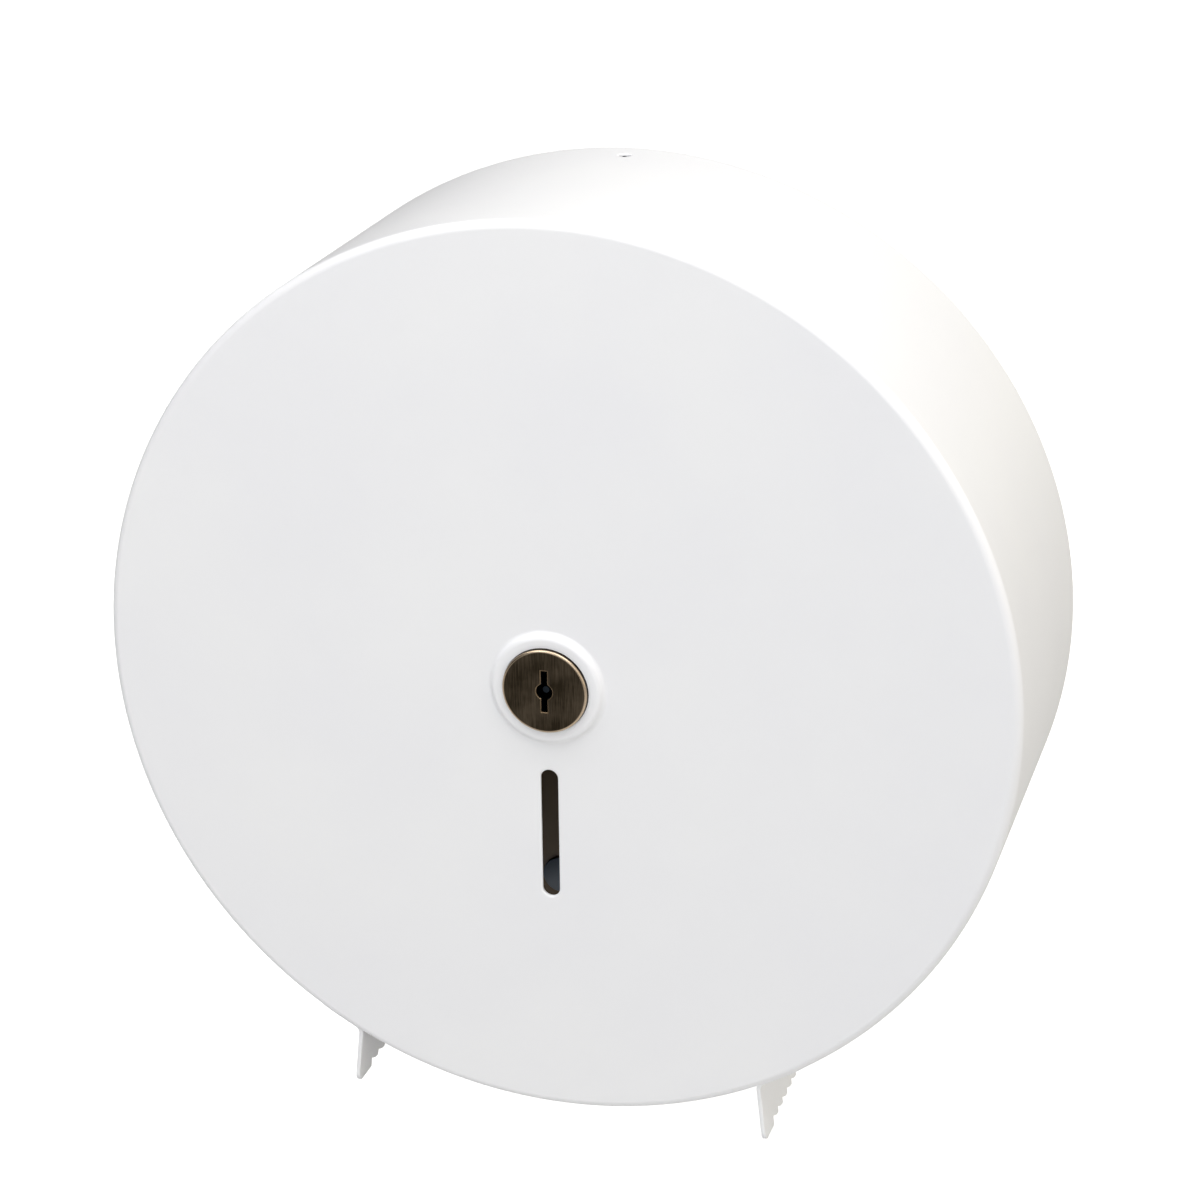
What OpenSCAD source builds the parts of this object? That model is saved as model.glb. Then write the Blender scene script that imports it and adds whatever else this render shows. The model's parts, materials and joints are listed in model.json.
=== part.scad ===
// Jumbo toilet roll dispenser: a round steel drum cover that swings down on two pins at its foot,
// over a back plate that carries the spindle for a wide roll.
// The origin is on the drum's axis, in the plane of the wall. The room is towards -Y and up is +Z.
// Distances named "from the wall" run towards the room.

/* [Cover] */
// Outside diameter of the drum cover
drum_d = 310; // [290:1:330]
// Distance from the wall to the flat front of the cover
front_d = 106.5; // [100:0.5:120]
// Gap between the cover's rear rim and the wall
rim_gap = 1.5; // [1:0.1:2]
// Thickness of the coated sheet of the cover
cover_t = 1.5; // [1:0.1:1.6]
// Outside radius of the cover's rounded front edge
edge_r = 3; // [2.5:0.5:7]
// Width of the viewing slot in the front
slot_w = 5.8; // [4:0.2:8]
// Length of the viewing slot, round ends included
slot_len = 45.8; // [30:0.2:60]
// Distance from the lock's axis down to the top of the viewing slot
slot_drop = 29.4; // [25:0.2:35]

/* [Raised ring round the lock] */
// Radius from the lock's axis to the crest of the raised ring
ring_r = 17; // [16.8:0.1:19]
// Radius of the ring's rounded section
ring_section_r = 2.1; // [1.7:0.1:2.3]
// How far the centre of that section lies behind the flat front
ring_sink = 0.1; // [0:0.1:0.4]

/* [Flanges at the foot] */
// Half the distance between the outer faces of the flanges at their bends
flange_x = 72; // [60:1:80]
// Angle by which the flanges lean outwards
flange_lean = 6; // [0:1:7]
// Inside radius of the bend between drum and flange
bend_r = 2.5; // [1.5:0.5:4]
// How far below the drum's lowest point the teeth reach
tooth_overhang = 2.8; // [1:0.1:4]
// How far the flange's front edge lies behind the flat front
flange_setback = 1.5; // [1:0.5:2.5]
// Angle past the bend over which the wall's front edge stands out of the rounded edge
lip_angle = 5; // [3:1:8]
// Angle over which that edge then runs out
lip_runout = 4; // [2:1:6]
// Pitch of the teeth
tooth_pitch = 6.5; // [5:0.1:9]
// Depth of the teeth
tooth_depth = 2.1; // [1.2:0.1:3]
// Width of the large first tooth at the front
first_tooth_w = 12.5; // [9:0.5:14]
// How much deeper than the others the first tooth reaches
first_tooth_extra = 1.3; // [0:0.1:1.5]
// Radius of the first tooth's front corner
first_tooth_r = 4; // [2:0.5:5]

/* [Hinge] */
// Radius of the rounded flange end round the hinge pin
lug_r = 8; // [7:0.5:9]
// Gap between that rounded end and the wall
lug_gap = 2.5; // [2:0.1:4]
// Radius of the back plate's ears round the pin
ear_r = 6.5; // [5.5:0.5:7]
// Diameter of the hinge pins
pin_d = 5; // [4:0.1:5.4]
// Diameter of the pins' heads
pin_head_d = 8.4; // [7:0.2:9]
// Thickness of the pins' heads
pin_head_t = 1.6; // [1:0.1:2.5]
// How far a pin stands out past its clip
pin_end = 0.8; // [0.5:0.1:1.5]
// Wall thickness of the nylon hinge bushes
hinge_bush_t = 1; // [0.8:0.1:1.3]
// Diameter of the hinge bushes' heads
hinge_bush_head_d = 10.4; // [9.4:0.2:12]
// Thickness of the hinge bushes' heads
hinge_bush_head_t = 1; // [0.8:0.1:1.5]
// Thickness of the nylon washers between ear and flange
hinge_washer_t = 0.9; // [0.6:0.1:1.5]
// Diameter of those washers
hinge_washer_d = 9; // [8:0.2:10]
// Diameter of the push-on clips
pin_clip_d = 11; // [9:0.5:12]
// Thickness of the push-on clips
pin_clip_t = 0.6; // [0.4:0.1:1]

/* [Back plate] */
// Thickness of the back plate
plate_t = 1.5; // [1:0.1:2]
// Gap between the cover's wall and the back plate's rim
plate_clear = 3; // [2:0.5:4]
// Distance from the wall to the top of the back plate's rim
plate_rim_h = 12; // [10:1:16]
// Outside radius of the bend at that rim
plate_bend_r = 3; // [2.2:0.1:4]
// How far below the axis the rim reaches before it is cut away for the swinging cover
rim_end_drop = 60; // [40:5:70]
// Radius of the raised pad that the spindle stands on
pad_r = 50; // [46:1:56]
// Height of the raised pad
pad_h = 3; // [2.4:0.1:4]
// Width of the pad's sloping edge
pad_slope = 6; // [4:1:8]
// Distance between the fixing holes, across and up
fixing_spacing = 140; // [130:1:150]
// Diameter of the fixing holes
fixing_hole_d = 6.5; // [5:0.1:8]

/* [Spindle] */
// Outside diameter of the spindle tube
tube_d = 40; // [38:0.5:41]
// Wall thickness of the spindle tube
tube_t = 1.8; // [1.6:0.1:2]
// Diameter of the spindle's flange
spindle_flange_d = 84; // [80:1:88]
// Thickness of the spindle's flange
spindle_flange_t = 2; // [1.5:0.1:3]
// Radius of the circle of spindle rivets
rivet_circle_r = 33; // [31:0.5:35]
// Diameter of the spindle rivets
rivet_d = 4; // [3:0.2:5]
// Height of the spindle rivets' heads
rivet_head_h = 1.6; // [1.2:0.1:2]
// Thickness of the keeper cap's face
keeper_t = 1.5; // [1.2:0.1:2]
// Depth of the keeper cap's skirt inside the tube
keeper_skirt = 5; // [3:0.5:7]
// Wall thickness of that skirt
keeper_skirt_t = 1.4; // [1:0.1:1.6]
// Half width of the keeper's opening
keeper_half_w = 7; // [6.8:0.1:7.4]
// How far the keeper's opening reaches above the axis
keeper_top = 7; // [6.6:0.1:8]
// How far the keeper's opening reaches below the axis
keeper_bottom = 17.5; // [17:0.1:17.8]

/* [Roll hub] */
// Outside diameter of the hub that the roll's core slides over
hub_d = 54; // [52:0.5:56]
// Wall thickness of the hub
hub_t = 2; // [1.5:0.1:2.4]
// Diameter of the hub's rear flange
hub_flange_d = 82; // [78:1:90]
// Thickness of the hub's rear flange
hub_flange_t = 2.5; // [2:0.1:4]
// Diameter of the lightening holes in the rear flange
hub_hole_d = 8; // [6:0.5:9]
// Length of the seats inside the hub that hold its bushes
bush_seat_len = 12; // [10:1:16]
// Length of the bushes' sleeves
hub_bush_len = 10; // [6:1:10]
// Wall thickness of the bushes' sleeves
hub_bush_t = 2.9; // [2:0.1:3.1]
// Diameter of the bushes' flanges
hub_bush_flange_d = 51; // [49:0.5:52]
// Thickness of the bushes' flanges
hub_bush_flange_t = 1.3; // [1:0.1:2]
// Length of the bevel at the hub's front end
hub_bevel = 4; // [2:0.5:6]
// Width of the ribs inside the hub
hub_rib_w = 1.6; // [1.2:0.1:2.4]
// Thickness of the nylon thrust washer behind the hub
thrust_t = 1.3; // [1:0.1:2]
// Diameter of that thrust washer
thrust_d = 54; // [50:1:56]
// Height of the dished brake washer
brake_h = 1.1; // [0.8:0.1:1.5]
// Sheet thickness of the brake washer
brake_t = 0.5; // [0.3:0.1:0.6]
// Diameter of the brake washer
brake_d = 50.4; // [48:0.2:52]
// Thickness of the hub's circlip
clip_t = 1.2; // [1:0.1:1.5]
// Diameter of the circlip
clip_d = 45.2; // [44:0.2:47]
// Depth of the circlip's groove in the tube
groove_depth = 0.75; // [0.4:0.05:0.9]
// Distance from the tube's front end to the circlip
clip_setback = 2.9; // [2:0.1:4]

/* [Lock] */
// Diameter of the bronze lock cap
cap_d = 28.9; // [27.6:0.1:29]
// How far the cap stands out of the flat front
cap_h = 3.6; // [3:0.1:4.5]
// Sheet thickness of the cap's front
cap_t = 1.2; // [0.8:0.1:1.5]
// Wall thickness of the cap's side
cap_side_t = 0.95; // [0.7:0.05:1.2]
// Radius of the cap's rounded rim
cap_edge_r = 0.8; // [0.3:0.1:0.9]
// Height of the keyhole
keyhole_h = 14.3; // [12:0.1:15]
// Width of the keyhole's slot
keyhole_w = 2; // [1.6:0.1:2.4]
// Diameter of the keyhole's round centre
keyhole_d = 5.4; // [4.6:0.1:6]
// Diameter of the lock's threaded barrel
barrel_d = 20; // [19.6:0.1:20.6]
// Distance between the flats on the barrel
barrel_flats = 18; // [17.4:0.1:19]
// Length of the barrel behind the flat front
barrel_len = 13.5; // [12.5:0.5:16]
// Thickness of the barrel's rear wall
barrel_end_t = 1.9; // [1.5:0.1:2.5]
// Diameter of the rotor
rotor_d = 15.6; // [15.2:0.1:16]
// Diameter of the rotor's stem
stem_d = 9; // [8:0.1:9.4]
// Depth of the key's slot in the rotor
key_depth = 9; // [6:0.5:9.5]
// Diameter of the post that a hollow key slides over
post_d = 2.2; // [1.6:0.1:2.6]
// Width across the flats of the lock nut
nut_af = 24; // [22:0.5:24.4]
// Thickness of the lock nut
nut_t = 4; // [3:0.5:5]
// Thickness of the toothed washer under the nut
tooth_washer_t = 1; // [0.8:0.1:1.4]
// Diameter of the toothed washer
tooth_washer_d = 26.4; // [24:0.2:27]
// Gap between the barrel's end and the keeper
keeper_gap = 2; // [1.5:0.1:3]
// Gap between the keeper and the cam behind it
cam_gap = 0.8; // [0.6:0.1:1]
// Thickness of the cam
cam_t = 2; // [1.5:0.1:2.2]
// Distance from the lock's axis to the cam's tip
cam_reach = 12.5; // [11:0.1:12.8]
// Width of the cam
cam_w = 12; // [11:0.1:12.4]
// Diameter of the cam screw's thread
cam_screw_d = 4; // [3:0.1:4.4]
// Diameter of the cam screw's head
cam_screw_head_d = 7.6; // [6:0.2:8]
// Height of the cam screw's head
cam_screw_head_h = 2.6; // [2:0.1:3]
// Thickness of the cam's washer
cam_washer_t = 1; // [0.8:0.1:1.5]
// Diameter of the cam's washer
cam_washer_d = 10; // [9:0.2:11]

/* [Catch at the top] */
// Diameter of the hole at the top of the cover
catch_hole_d = 4.4; // [3.6:0.1:6]
// Distance from the cover's rear rim to that hole
catch_hole_back = 11.6; // [10:0.1:14]
// Thickness of the catch spring
leaf_t = 0.6; // [0.4:0.1:0.8]
// Width of the catch spring
leaf_w = 14; // [10:0.5:18]
// Gap between the catch spring and the cover's wall
leaf_gap = 3.2; // [2.8:0.1:3.6]
// Gap all round the spring's nib in that hole
nib_fit = 0.25; // [0.15:0.05:0.4]
// How far the nib's tip lies below the cover's outer face
nib_sink = 0.3; // [0.1:0.1:0.6]
// Length of the spring's foot on the back plate
foot_len = 24; // [20:1:32]
// Inside radius of the bend between foot and leaf
leaf_bend_r = 1.4; // [0.8:0.2:2.4]
// How far the leaf reaches past the hole's centre
leaf_overhang = 4.4; // [3:0.2:6]
// Diameter of the catch rivets
catch_rivet_d = 3; // [2.4:0.1:3.6]
// Distance from the leaf down to the upper catch rivet
catch_rivet_drop = 8; // [7:0.5:9]
// Distance between the two catch rivets
catch_rivet_pitch = 10; // [8:0.5:11]
// Height of the catch rivets' heads
catch_rivet_head_h = 1.2; // [0.8:0.1:1.6]

/* [Spare holes and their plugs] */
// Distance of the plugs from the centre line
plug_x = 30; // [26:1:34]
// Distance of the plugs below the axis
plug_drop = 121; // [112:1:124]
// Diameter of the plugs' heads
plug_head_d = 14; // [12:0.5:15]
// Height of the plugs' heads
plug_head_h = 2.2; // [1.5:0.1:3]
// Diameter of the spare holes
spare_hole_d = 10; // [8:0.5:10.5]

/* [Clearances] */
// Gap all round a piece that is pressed, screwed or seated in another
seat_fit = 0.03; // [0.01:0.01:0.1]
// Gap all round a piece that turns in another
running_fit = 0.06; // [0.03:0.01:0.1]
// Gap between the faces of pieces that turn against each other
face_gap = 0.1; // [0.05:0.05:0.3]
// Gap all round the lock's barrel in the cover
barrel_fit = 0.15; // [0.1:0.05:0.3]

/* [Hidden] */
$fn = 96;
cut = 1;

// Cover
drum_r = drum_d / 2;
tooth_tip_drop = drum_r + tooth_overhang;
inner_r = drum_r - cover_t;
wall_front = front_d - edge_r;
ring_hollow_r = ring_section_r - cover_t;

// Flanges: the bend's centre lies outside the drum, so the sheet turns from the wall into the flange
bend_angle = asin((flange_x + bend_r * cos(flange_lean)) / (drum_r + bend_r));
bend_x = (drum_r + bend_r) * sin(bend_angle);
bend_z = -(drum_r + bend_r) * cos(bend_angle);
flange_front = front_d - flange_setback;
hinge_z = lug_r - tooth_tip_drop;
hinge_d = lug_r + lug_gap;
lug_start = hinge_d + lug_r;
teeth_front = flange_front - first_tooth_w;
tooth_count = floor((teeth_front - lug_start) / tooth_pitch);
notch_z = tooth_depth - tooth_tip_drop;
first_tip_z = -tooth_tip_drop - first_tooth_extra;

// Hinge, across the object
function flange_outer_x(z) = flange_x + (bend_z - z) * tan(flange_lean);
function flange_inner_x(z) = flange_outer_x(z) - cover_t / cos(flange_lean);
washer_outer_x = flange_inner_x(hinge_z + hinge_washer_d / 2) - face_gap;
ear_outer_x = washer_outer_x - hinge_washer_t;
ear_inner_x = ear_outer_x - plate_t;
bush_head_x = flange_outer_x(hinge_z - hinge_bush_head_d / 2);
bush_inner_x = washer_outer_x + face_gap;
bush_outer_x = bush_head_x + hinge_bush_head_t;
pin_clip_x = bush_outer_x + face_gap;
pin_end_x = pin_clip_x + pin_clip_t + pin_end;
hinge_bush_r = pin_d / 2 + running_fit + hinge_bush_t;

// Back plate
plate_r = inner_r - plate_clear;
pad_front = pad_h + plate_t;
apron_bottom = hinge_z - ear_r;
ear_bend_r = plate_t + 1;
fixing = fixing_spacing / 2;

// Lock and keeper, from the front of the cover back
cap_front = front_d + cap_h;
barrel_rear = front_d - barrel_len;
keeper_front = barrel_rear - keeper_gap;
tube_front = keeper_front - keeper_t;
cam_front = tube_front - cam_gap;
cam_rear = cam_front - cam_t;
cam_washer_rear = cam_rear - cam_washer_t;
rotor_front = cap_front - cap_t - face_gap;
rotor_rear = barrel_rear + barrel_end_t + face_gap;
stem_shoulder = 0.15;
stem_square = (stem_d - 2 * stem_shoulder) / sqrt(2);
stem_end = cam_rear + face_gap;
tapped_depth = 7;
head_top = cap_front - cap_t - seat_fit;

// Spindle and hub, from the wall out
tube_r = tube_d / 2;
tube_inner_r = tube_r - tube_t;
flange_front_d = pad_front + spindle_flange_t;
thrust_front = flange_front_d + thrust_t;
hub_bush_rear_start = thrust_front + face_gap;
hub_rear = hub_bush_rear_start + hub_bush_flange_t;
clip_front = tube_front - clip_setback;
clip_rear = clip_front - clip_t;
brake_rear = clip_rear - brake_h;
hub_bush_front_end = brake_rear - face_gap;
hub_front = hub_bush_front_end - hub_bush_flange_t;
hub_r = hub_d / 2;
hub_bush_inner_r = tube_r + running_fit;
hub_bush_r = hub_bush_inner_r + hub_bush_t;
hub_bore_r = hub_bush_r + seat_fit;
hub_flange_front = hub_rear + hub_flange_t;
hub_hole_circle_r = (hub_r + hub_flange_d / 2) / 2;
rivet_count = 4;
hub_hole_count = 6;
hub_rib_count = 8;

// Catch
catch_d = rim_gap + catch_hole_back;
leaf_top = inner_r - leaf_gap;
leaf_front = catch_d + leaf_overhang;
leaf_outer_bend_r = leaf_bend_r + leaf_t;
nib_r = catch_hole_d / 2 - nib_fit;
nib_top = drum_r - nib_sink;
catch_rivet_z = [for (i = [0, 1]) leaf_top - catch_rivet_drop - i * catch_rivet_pitch];
leaf_notch = leaf_w + 8;

// Draws a flat outline, seen from the front, as a sheet that starts at a distance from the wall
module sheet(start, thickness) {
    rotate([90, 0, 0])
        translate([0, 0, start])
            linear_extrude(thickness)
                children();
}

// Turns a profile about the drum's axis: its x is the radius and its y the distance from the wall
module turned() {
    rotate([90, 0, 0])
        rotate_extrude($fn = 240)
            children();
}

// A ring or disc about the drum's axis
module ring(start, end, outer, inner = 0) {
    turned()
        translate([inner, start])
            square([outer - inner, end - start]);
}

// Draws a side view, in Y and Z, as a plate that starts at a distance across
module across(start, thickness) {
    translate([start, 0, 0])
        rotate([90, 0, 90])
            linear_extrude(thickness)
                children();
}

// A round piece that lies across, on the hinge's axis
module on_hinge(start, thickness, outer, inner = 0) {
    translate([start, -hinge_d, hinge_z])
        rotate([0, 90, 0])
            difference() {
                cylinder(h = thickness, r = outer);
                if (inner > 0) translate([0, 0, -cut]) cylinder(h = thickness + 2 * cut, r = inner);
            }
}

// Puts a piece of the right side on the side asked for
module on_side(side) {
    mirror([side < 0 ? 1 : 0, 0, 0]) children();
}

// Cover

// Half section of the drum, filled, at a distance inside its outer face
module drum_section(inset) {
    r = edge_r - inset;
    translate([0, rim_gap - (inset > 0 ? cut : 0)])
        square([drum_r - inset, wall_front - rim_gap + (inset > 0 ? cut : 0)]);
    translate([0, wall_front - cut])
        square([drum_r - edge_r, front_d - inset - wall_front + cut]);
    translate([drum_r - edge_r, wall_front])
        circle(r);
}

module drum() {
    turned() difference() {
        union() {
            drum_section(0);
            translate([ring_r, front_d - ring_sink]) circle(ring_section_r);
        }
        drum_section(cover_t);
        translate([ring_r, front_d - ring_sink]) circle(ring_hollow_r);
        translate([ring_r - ring_hollow_r, front_d - cover_t - cut])
            square([2 * ring_hollow_r, cover_t + cut - ring_sink]);
    }
}

// Sector that the wall leaves open between the flanges
module paper_opening() {
    reach = drum_d;
    sheet(-cut, wall_front + cut)
        polygon([[0, 0], [-reach * sin(bend_angle), -reach * cos(bend_angle)],
            [reach * sin(bend_angle), -reach * cos(bend_angle)]]);
}

// Section of a flange and its bend, seen from the front
module flange_section() {
    leg = drum_d;
    wedge = 4 * (bend_r + cover_t);
    turn_end = 180 + flange_lean;
    turn_start = 90 + bend_angle;
    turn_middle = (turn_start + turn_end) / 2;
    lip_end = bend_angle + lip_angle + lip_runout;
    lap = 0.05;
    lap_angle = 0.02;
    translate([bend_x, bend_z]) {
        intersection() {
            difference() {
                circle(bend_r + cover_t);
                circle(bend_r);
            }
            polygon([[0, 0], for (a = [turn_start, turn_middle, turn_end]) wedge * [cos(a), sin(a)]]);
        }
        rotate(flange_lean)
            translate([-bend_r - cover_t, -leg])
                square([cover_t, leg + lap]);
    }
    intersection() {
        difference() {
            circle(drum_r, $fn = 240);
            circle(inner_r, $fn = 240);
        }
        polygon([[0, 0], for (a = [bend_angle - lap_angle, lip_end]) drum_d * [sin(a), -cos(a)]]);
    }
}

// Lower edge of one tooth, from its notch back: a slope that flattens, then a short round heel
function tooth_edge(start) =
    let (heel = 0.12 * tooth_pitch, crest = tooth_pitch - heel)
    concat(
        [for (u = [0:0.25:1]) [start + u * crest, notch_z - tooth_depth * sin(90 * u)]],
        [for (a = [30:30:90]) [start + crest + heel * sin(a), heel * (1 - cos(a)) - tooth_tip_drop]]);

// Side view of a flange, in Y and Z
module flange_outline() {
    front = -flange_front;
    heel_r = 1.5;
    heel_y = front + first_tooth_w - heel_r;
    corner_y = front + first_tooth_r;
    lip_z = [for (a = [lip_angle, lip_angle + lip_runout]) -drum_r * cos(bend_angle + a)];
    polygon(concat(
        [[-rim_gap, 0], [cut - wall_front, 0], [cut - wall_front, lip_z[1]], [front, lip_z[0]]],
        [for (a = [0:15:90]) [corner_y - first_tooth_r * cos(a), first_tip_z + first_tooth_r * (1 - sin(a))]],
        [for (a = [0:30:90]) [heel_y + heel_r * sin(a), first_tip_z + heel_r * (1 - cos(a))]],
        [for (i = [0:tooth_count - 1]) each tooth_edge(-teeth_front + i * tooth_pitch)],
        [[tooth_count * tooth_pitch - teeth_front, notch_z]],
        [for (a = [-90:10:0]) [lug_r * cos(a) - hinge_d, hinge_z + lug_r * sin(a)]],
        [[-rim_gap, bend_z]]));
}

// Front edge of the wall beside a flange, which runs out into the rounded edge
module flange() {
    difference() {
        intersection() {
            sheet(0, front_d) flange_section();
            across(0, drum_d) flange_outline();
        }
        on_hinge(ear_inner_x, drum_d, hinge_bush_r + seat_fit);
    }
}

module barrel_outline(r, flats) {
    intersection() {
        circle(r);
        square([flats, 4 * r], center = true);
    }
}

module viewing_slot() {
    end = slot_len - slot_w;
    translate([0, -slot_drop - slot_w / 2]) {
        circle(slot_w / 2);
        translate([0, -end]) circle(slot_w / 2);
        translate([-slot_w / 2, -end]) square([slot_w, end]);
    }
}

module cover_shell() {
    color("whitesmoke")
        difference() {
            union() {
                difference() {
                    drum();
                    paper_opening();
                }
                for (side = [-1, 1]) on_side(side) flange();
            }
            sheet(front_d - 2 * cover_t, 3 * cover_t)
                barrel_outline(barrel_d / 2 + barrel_fit, barrel_flats + 2 * barrel_fit);
            sheet(front_d - 2 * cover_t, 3 * cover_t) viewing_slot();
            translate([0, -catch_d, inner_r - cut]) cylinder(h = cover_t + 2 * cut, d = catch_hole_d);
        }
}

// Lock

module keyhole() {
    circle(keyhole_d / 2);
    square([keyhole_w, keyhole_h], center = true);
}

module lock_face() {
    r = cap_d / 2;
    inner = r - cap_side_t;
    color("#3b3024")
        difference() {
            turned() difference() {
                union() {
                    translate([0, front_d + seat_fit]) square([r, cap_h - cap_edge_r - seat_fit]);
                    translate([0, cap_front - 2 * cap_edge_r]) square([r - cap_edge_r, 2 * cap_edge_r]);
                    translate([r - cap_edge_r, cap_front - cap_edge_r]) circle(cap_edge_r);
                }
                translate([-cut, front_d - cut]) square([inner + cut, cap_h - cap_t + cut]);
            }
            sheet(front_d, cap_h + cut) keyhole();
        }
}

module lock_barrel() {
    bore_r = rotor_d / 2 + running_fit;
    head_r = cap_d / 2 - cap_side_t - seat_fit;
    color("silver")
        difference() {
            union() {
                ring(front_d, head_top, head_r);
                sheet(barrel_rear, barrel_len) barrel_outline(barrel_d / 2, barrel_flats);
            }
            ring(barrel_rear + barrel_end_t, cap_front, bore_r);
            ring(barrel_rear - cut, cap_front, stem_d / 2 + running_fit);
        }
}

module lock_washer() {
    teeth = 16;
    notch = 1.6;
    start = front_d - cover_t - tooth_washer_t;
    color("silver")
        sheet(start, tooth_washer_t)
            difference() {
                circle(tooth_washer_d / 2);
                circle(barrel_d / 2 + barrel_fit);
                for (i = [0:teeth - 1])
                    rotate(i * 360 / teeth)
                        translate([tooth_washer_d / 2 - notch, -notch / 2])
                            square([2 * notch, notch]);
            }
}

module lock_nut() {
    start = front_d - cover_t - tooth_washer_t - nut_t;
    color("silver")
        difference() {
            sheet(start, nut_t) rotate(30) circle(nut_af / sqrt(3), $fn = 6);
            ring(start - cut, start + nut_t + cut, barrel_d / 2 + seat_fit);
        }
}

module lock_rotor() {
    key_end = rotor_front - key_depth;
    color("slategray")
        difference() {
            union() {
                ring(rotor_rear, rotor_front, rotor_d / 2);
                ring(cam_front, rotor_rear, stem_d / 2);
                sheet(stem_end, cam_front - stem_end) square(stem_square, center = true);
            }
            sheet(key_end, key_depth + cut) keyhole();
            ring(stem_end - cut, stem_end + tapped_depth, cam_screw_d / 2 + seat_fit);
        }
}

module key_post() {
    key_end = rotor_front - key_depth;
    color("lightsteelblue") ring(key_end, rotor_front - 1, post_d / 2);
}

module lock_cam() {
    color("silver")
        sheet(cam_rear, cam_t)
            difference() {
                union() {
                    circle(cam_w / 2);
                    intersection() {
                        translate([-cam_w / 2, -cam_reach]) square([cam_w, cam_reach]);
                        circle(cam_reach);
                    }
                }
                square(stem_square + 2 * seat_fit, center = true);
            }
}

module cam_washer() {
    color("silver") ring(cam_washer_rear, cam_rear, cam_washer_d / 2, cam_screw_d / 2 + seat_fit);
}

module cam_screw() {
    shank_end = stem_end + tapped_depth - face_gap;
    head_end = cam_washer_rear - cam_screw_head_h;
    cross = [1.2, 0.72 * cam_screw_head_d];
    color("silver")
        difference() {
            union() {
                ring(cam_washer_rear, shank_end, cam_screw_d / 2);
                ring(head_end, cam_washer_rear, cam_screw_head_d / 2);
            }
            sheet(head_end - cut, cut + cam_screw_head_h / 2) {
                square(cross, center = true);
                square([cross[1], cross[0]], center = true);
            }
        }
}

// Back plate

module plate_section() {
    flat_start = pad_r + pad_slope;
    bend_centre = plate_r - plate_bend_r;
    translate([0, pad_h]) square([pad_r, plate_t]);
    polygon([[pad_r, pad_h], [flat_start, 0], [flat_start, plate_t], [pad_r, pad_front]]);
    translate([flat_start, 0]) square([bend_centre - flat_start, plate_t]);
    intersection() {
        translate([bend_centre, plate_bend_r]) difference() {
            circle(plate_bend_r);
            circle(plate_bend_r - plate_t);
        }
        translate([bend_centre, 0]) square(plate_bend_r);
    }
    translate([plate_r - plate_t, plate_bend_r]) square([plate_t, plate_rim_h - plate_bend_r]);
}

// Ear that carries a hinge pin, bent forward from the plate's apron
module ear() {
    difference() {
        intersection() {
            translate([0, 0, apron_bottom])
                linear_extrude(2 * ear_r)
                    difference() {
                        union() {
                            translate([0, -ear_bend_r])
                                square([ear_outer_x - ear_bend_r, ear_bend_r]);
                            translate([ear_outer_x - ear_bend_r, -ear_bend_r]) circle(ear_bend_r);
                            translate([0, -hinge_d - ear_r])
                                square([ear_outer_x, hinge_d + ear_r - ear_bend_r]);
                        }
                        translate([-cut, -hinge_d - ear_r - cut])
                            square([ear_inner_x + cut, hinge_d + ear_r + cut - plate_t]);
                    }
            across(0, ear_outer_x) {
                translate([-hinge_d, hinge_z]) circle(ear_r);
                translate([-hinge_d, hinge_z - ear_r]) square([hinge_d, 2 * ear_r]);
            }
        }
        on_hinge(ear_inner_x - cut, plate_t + 2 * cut, pin_d / 2 + seat_fit);
    }
}

module spindle_rivet_places() {
    for (i = [0:rivet_count - 1])
        rotate(45 + i * 360 / rivet_count) translate([rivet_circle_r, 0]) children();
}

module plug_places() {
    for (side = [-1, 1]) translate([side * plug_x, -plug_drop]) children();
}

// A rounded head of a given diameter and height on the plane z = 0
module dome(d, h) {
    r = (pow(d / 2, 2) + pow(h, 2)) / (2 * h);
    intersection() {
        translate([0, 0, h - r]) sphere(r);
        cylinder(h = h, d = d);
    }
}

module back_plate() {
    apron_w = ear_outer_x - ear_bend_r;
    color("#26272a")
        difference() {
            union() {
                difference() {
                    turned() plate_section();
                    sheet(plate_t, plate_rim_h)
                        translate([-drum_r, -drum_r]) square([drum_d, drum_r - rim_end_drop]);
                    sheet(plate_t, plate_rim_h)
                        translate([-leaf_notch / 2, drum_r / 2]) square([leaf_notch, drum_r]);
                }
                sheet(0, plate_t)
                    translate([-apron_w, apron_bottom]) square([2 * apron_w, 3 * ear_r]);
                for (side = [-1, 1]) on_side(side) ear();
            }
            sheet(-cut, pad_front + 2 * cut) {
                for (x = [-fixing, fixing], z = [-fixing, fixing])
                    translate([x, z]) circle(fixing_hole_d / 2);
                spindle_rivet_places() circle(rivet_d / 2 + seat_fit);
                plug_places() circle(spare_hole_d / 2);
                for (z = catch_rivet_z) translate([0, z]) circle(catch_rivet_d / 2 + seat_fit);
            }
        }
}

module hole_plugs() {
    rim = plug_head_h / 3;
    color("#1a1c1f")
        rotate([90, 0, 0]) plug_places() union() {
            cylinder(h = plate_t + rim, r = spare_hole_d / 2 - seat_fit);
            translate([0, 0, plate_t]) cylinder(h = rim, d = plug_head_d);
            translate([0, 0, plate_t + rim]) dome(plug_head_d, plug_head_h - rim);
        }
}

// Spindle

module spindle_flange() {
    color("silver")
        difference() {
            ring(pad_front, flange_front_d, spindle_flange_d / 2, tube_r + seat_fit);
            sheet(pad_front - cut, spindle_flange_t + 2 * cut)
                spindle_rivet_places() circle(rivet_d / 2 + seat_fit);
        }
}

module spindle_tube() {
    color("silver")
        difference() {
            ring(pad_front, tube_front, tube_r, tube_inner_r);
            ring(clip_rear - face_gap / 2, clip_front + face_gap / 2, tube_r + cut, tube_r - groove_depth);
        }
}

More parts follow.
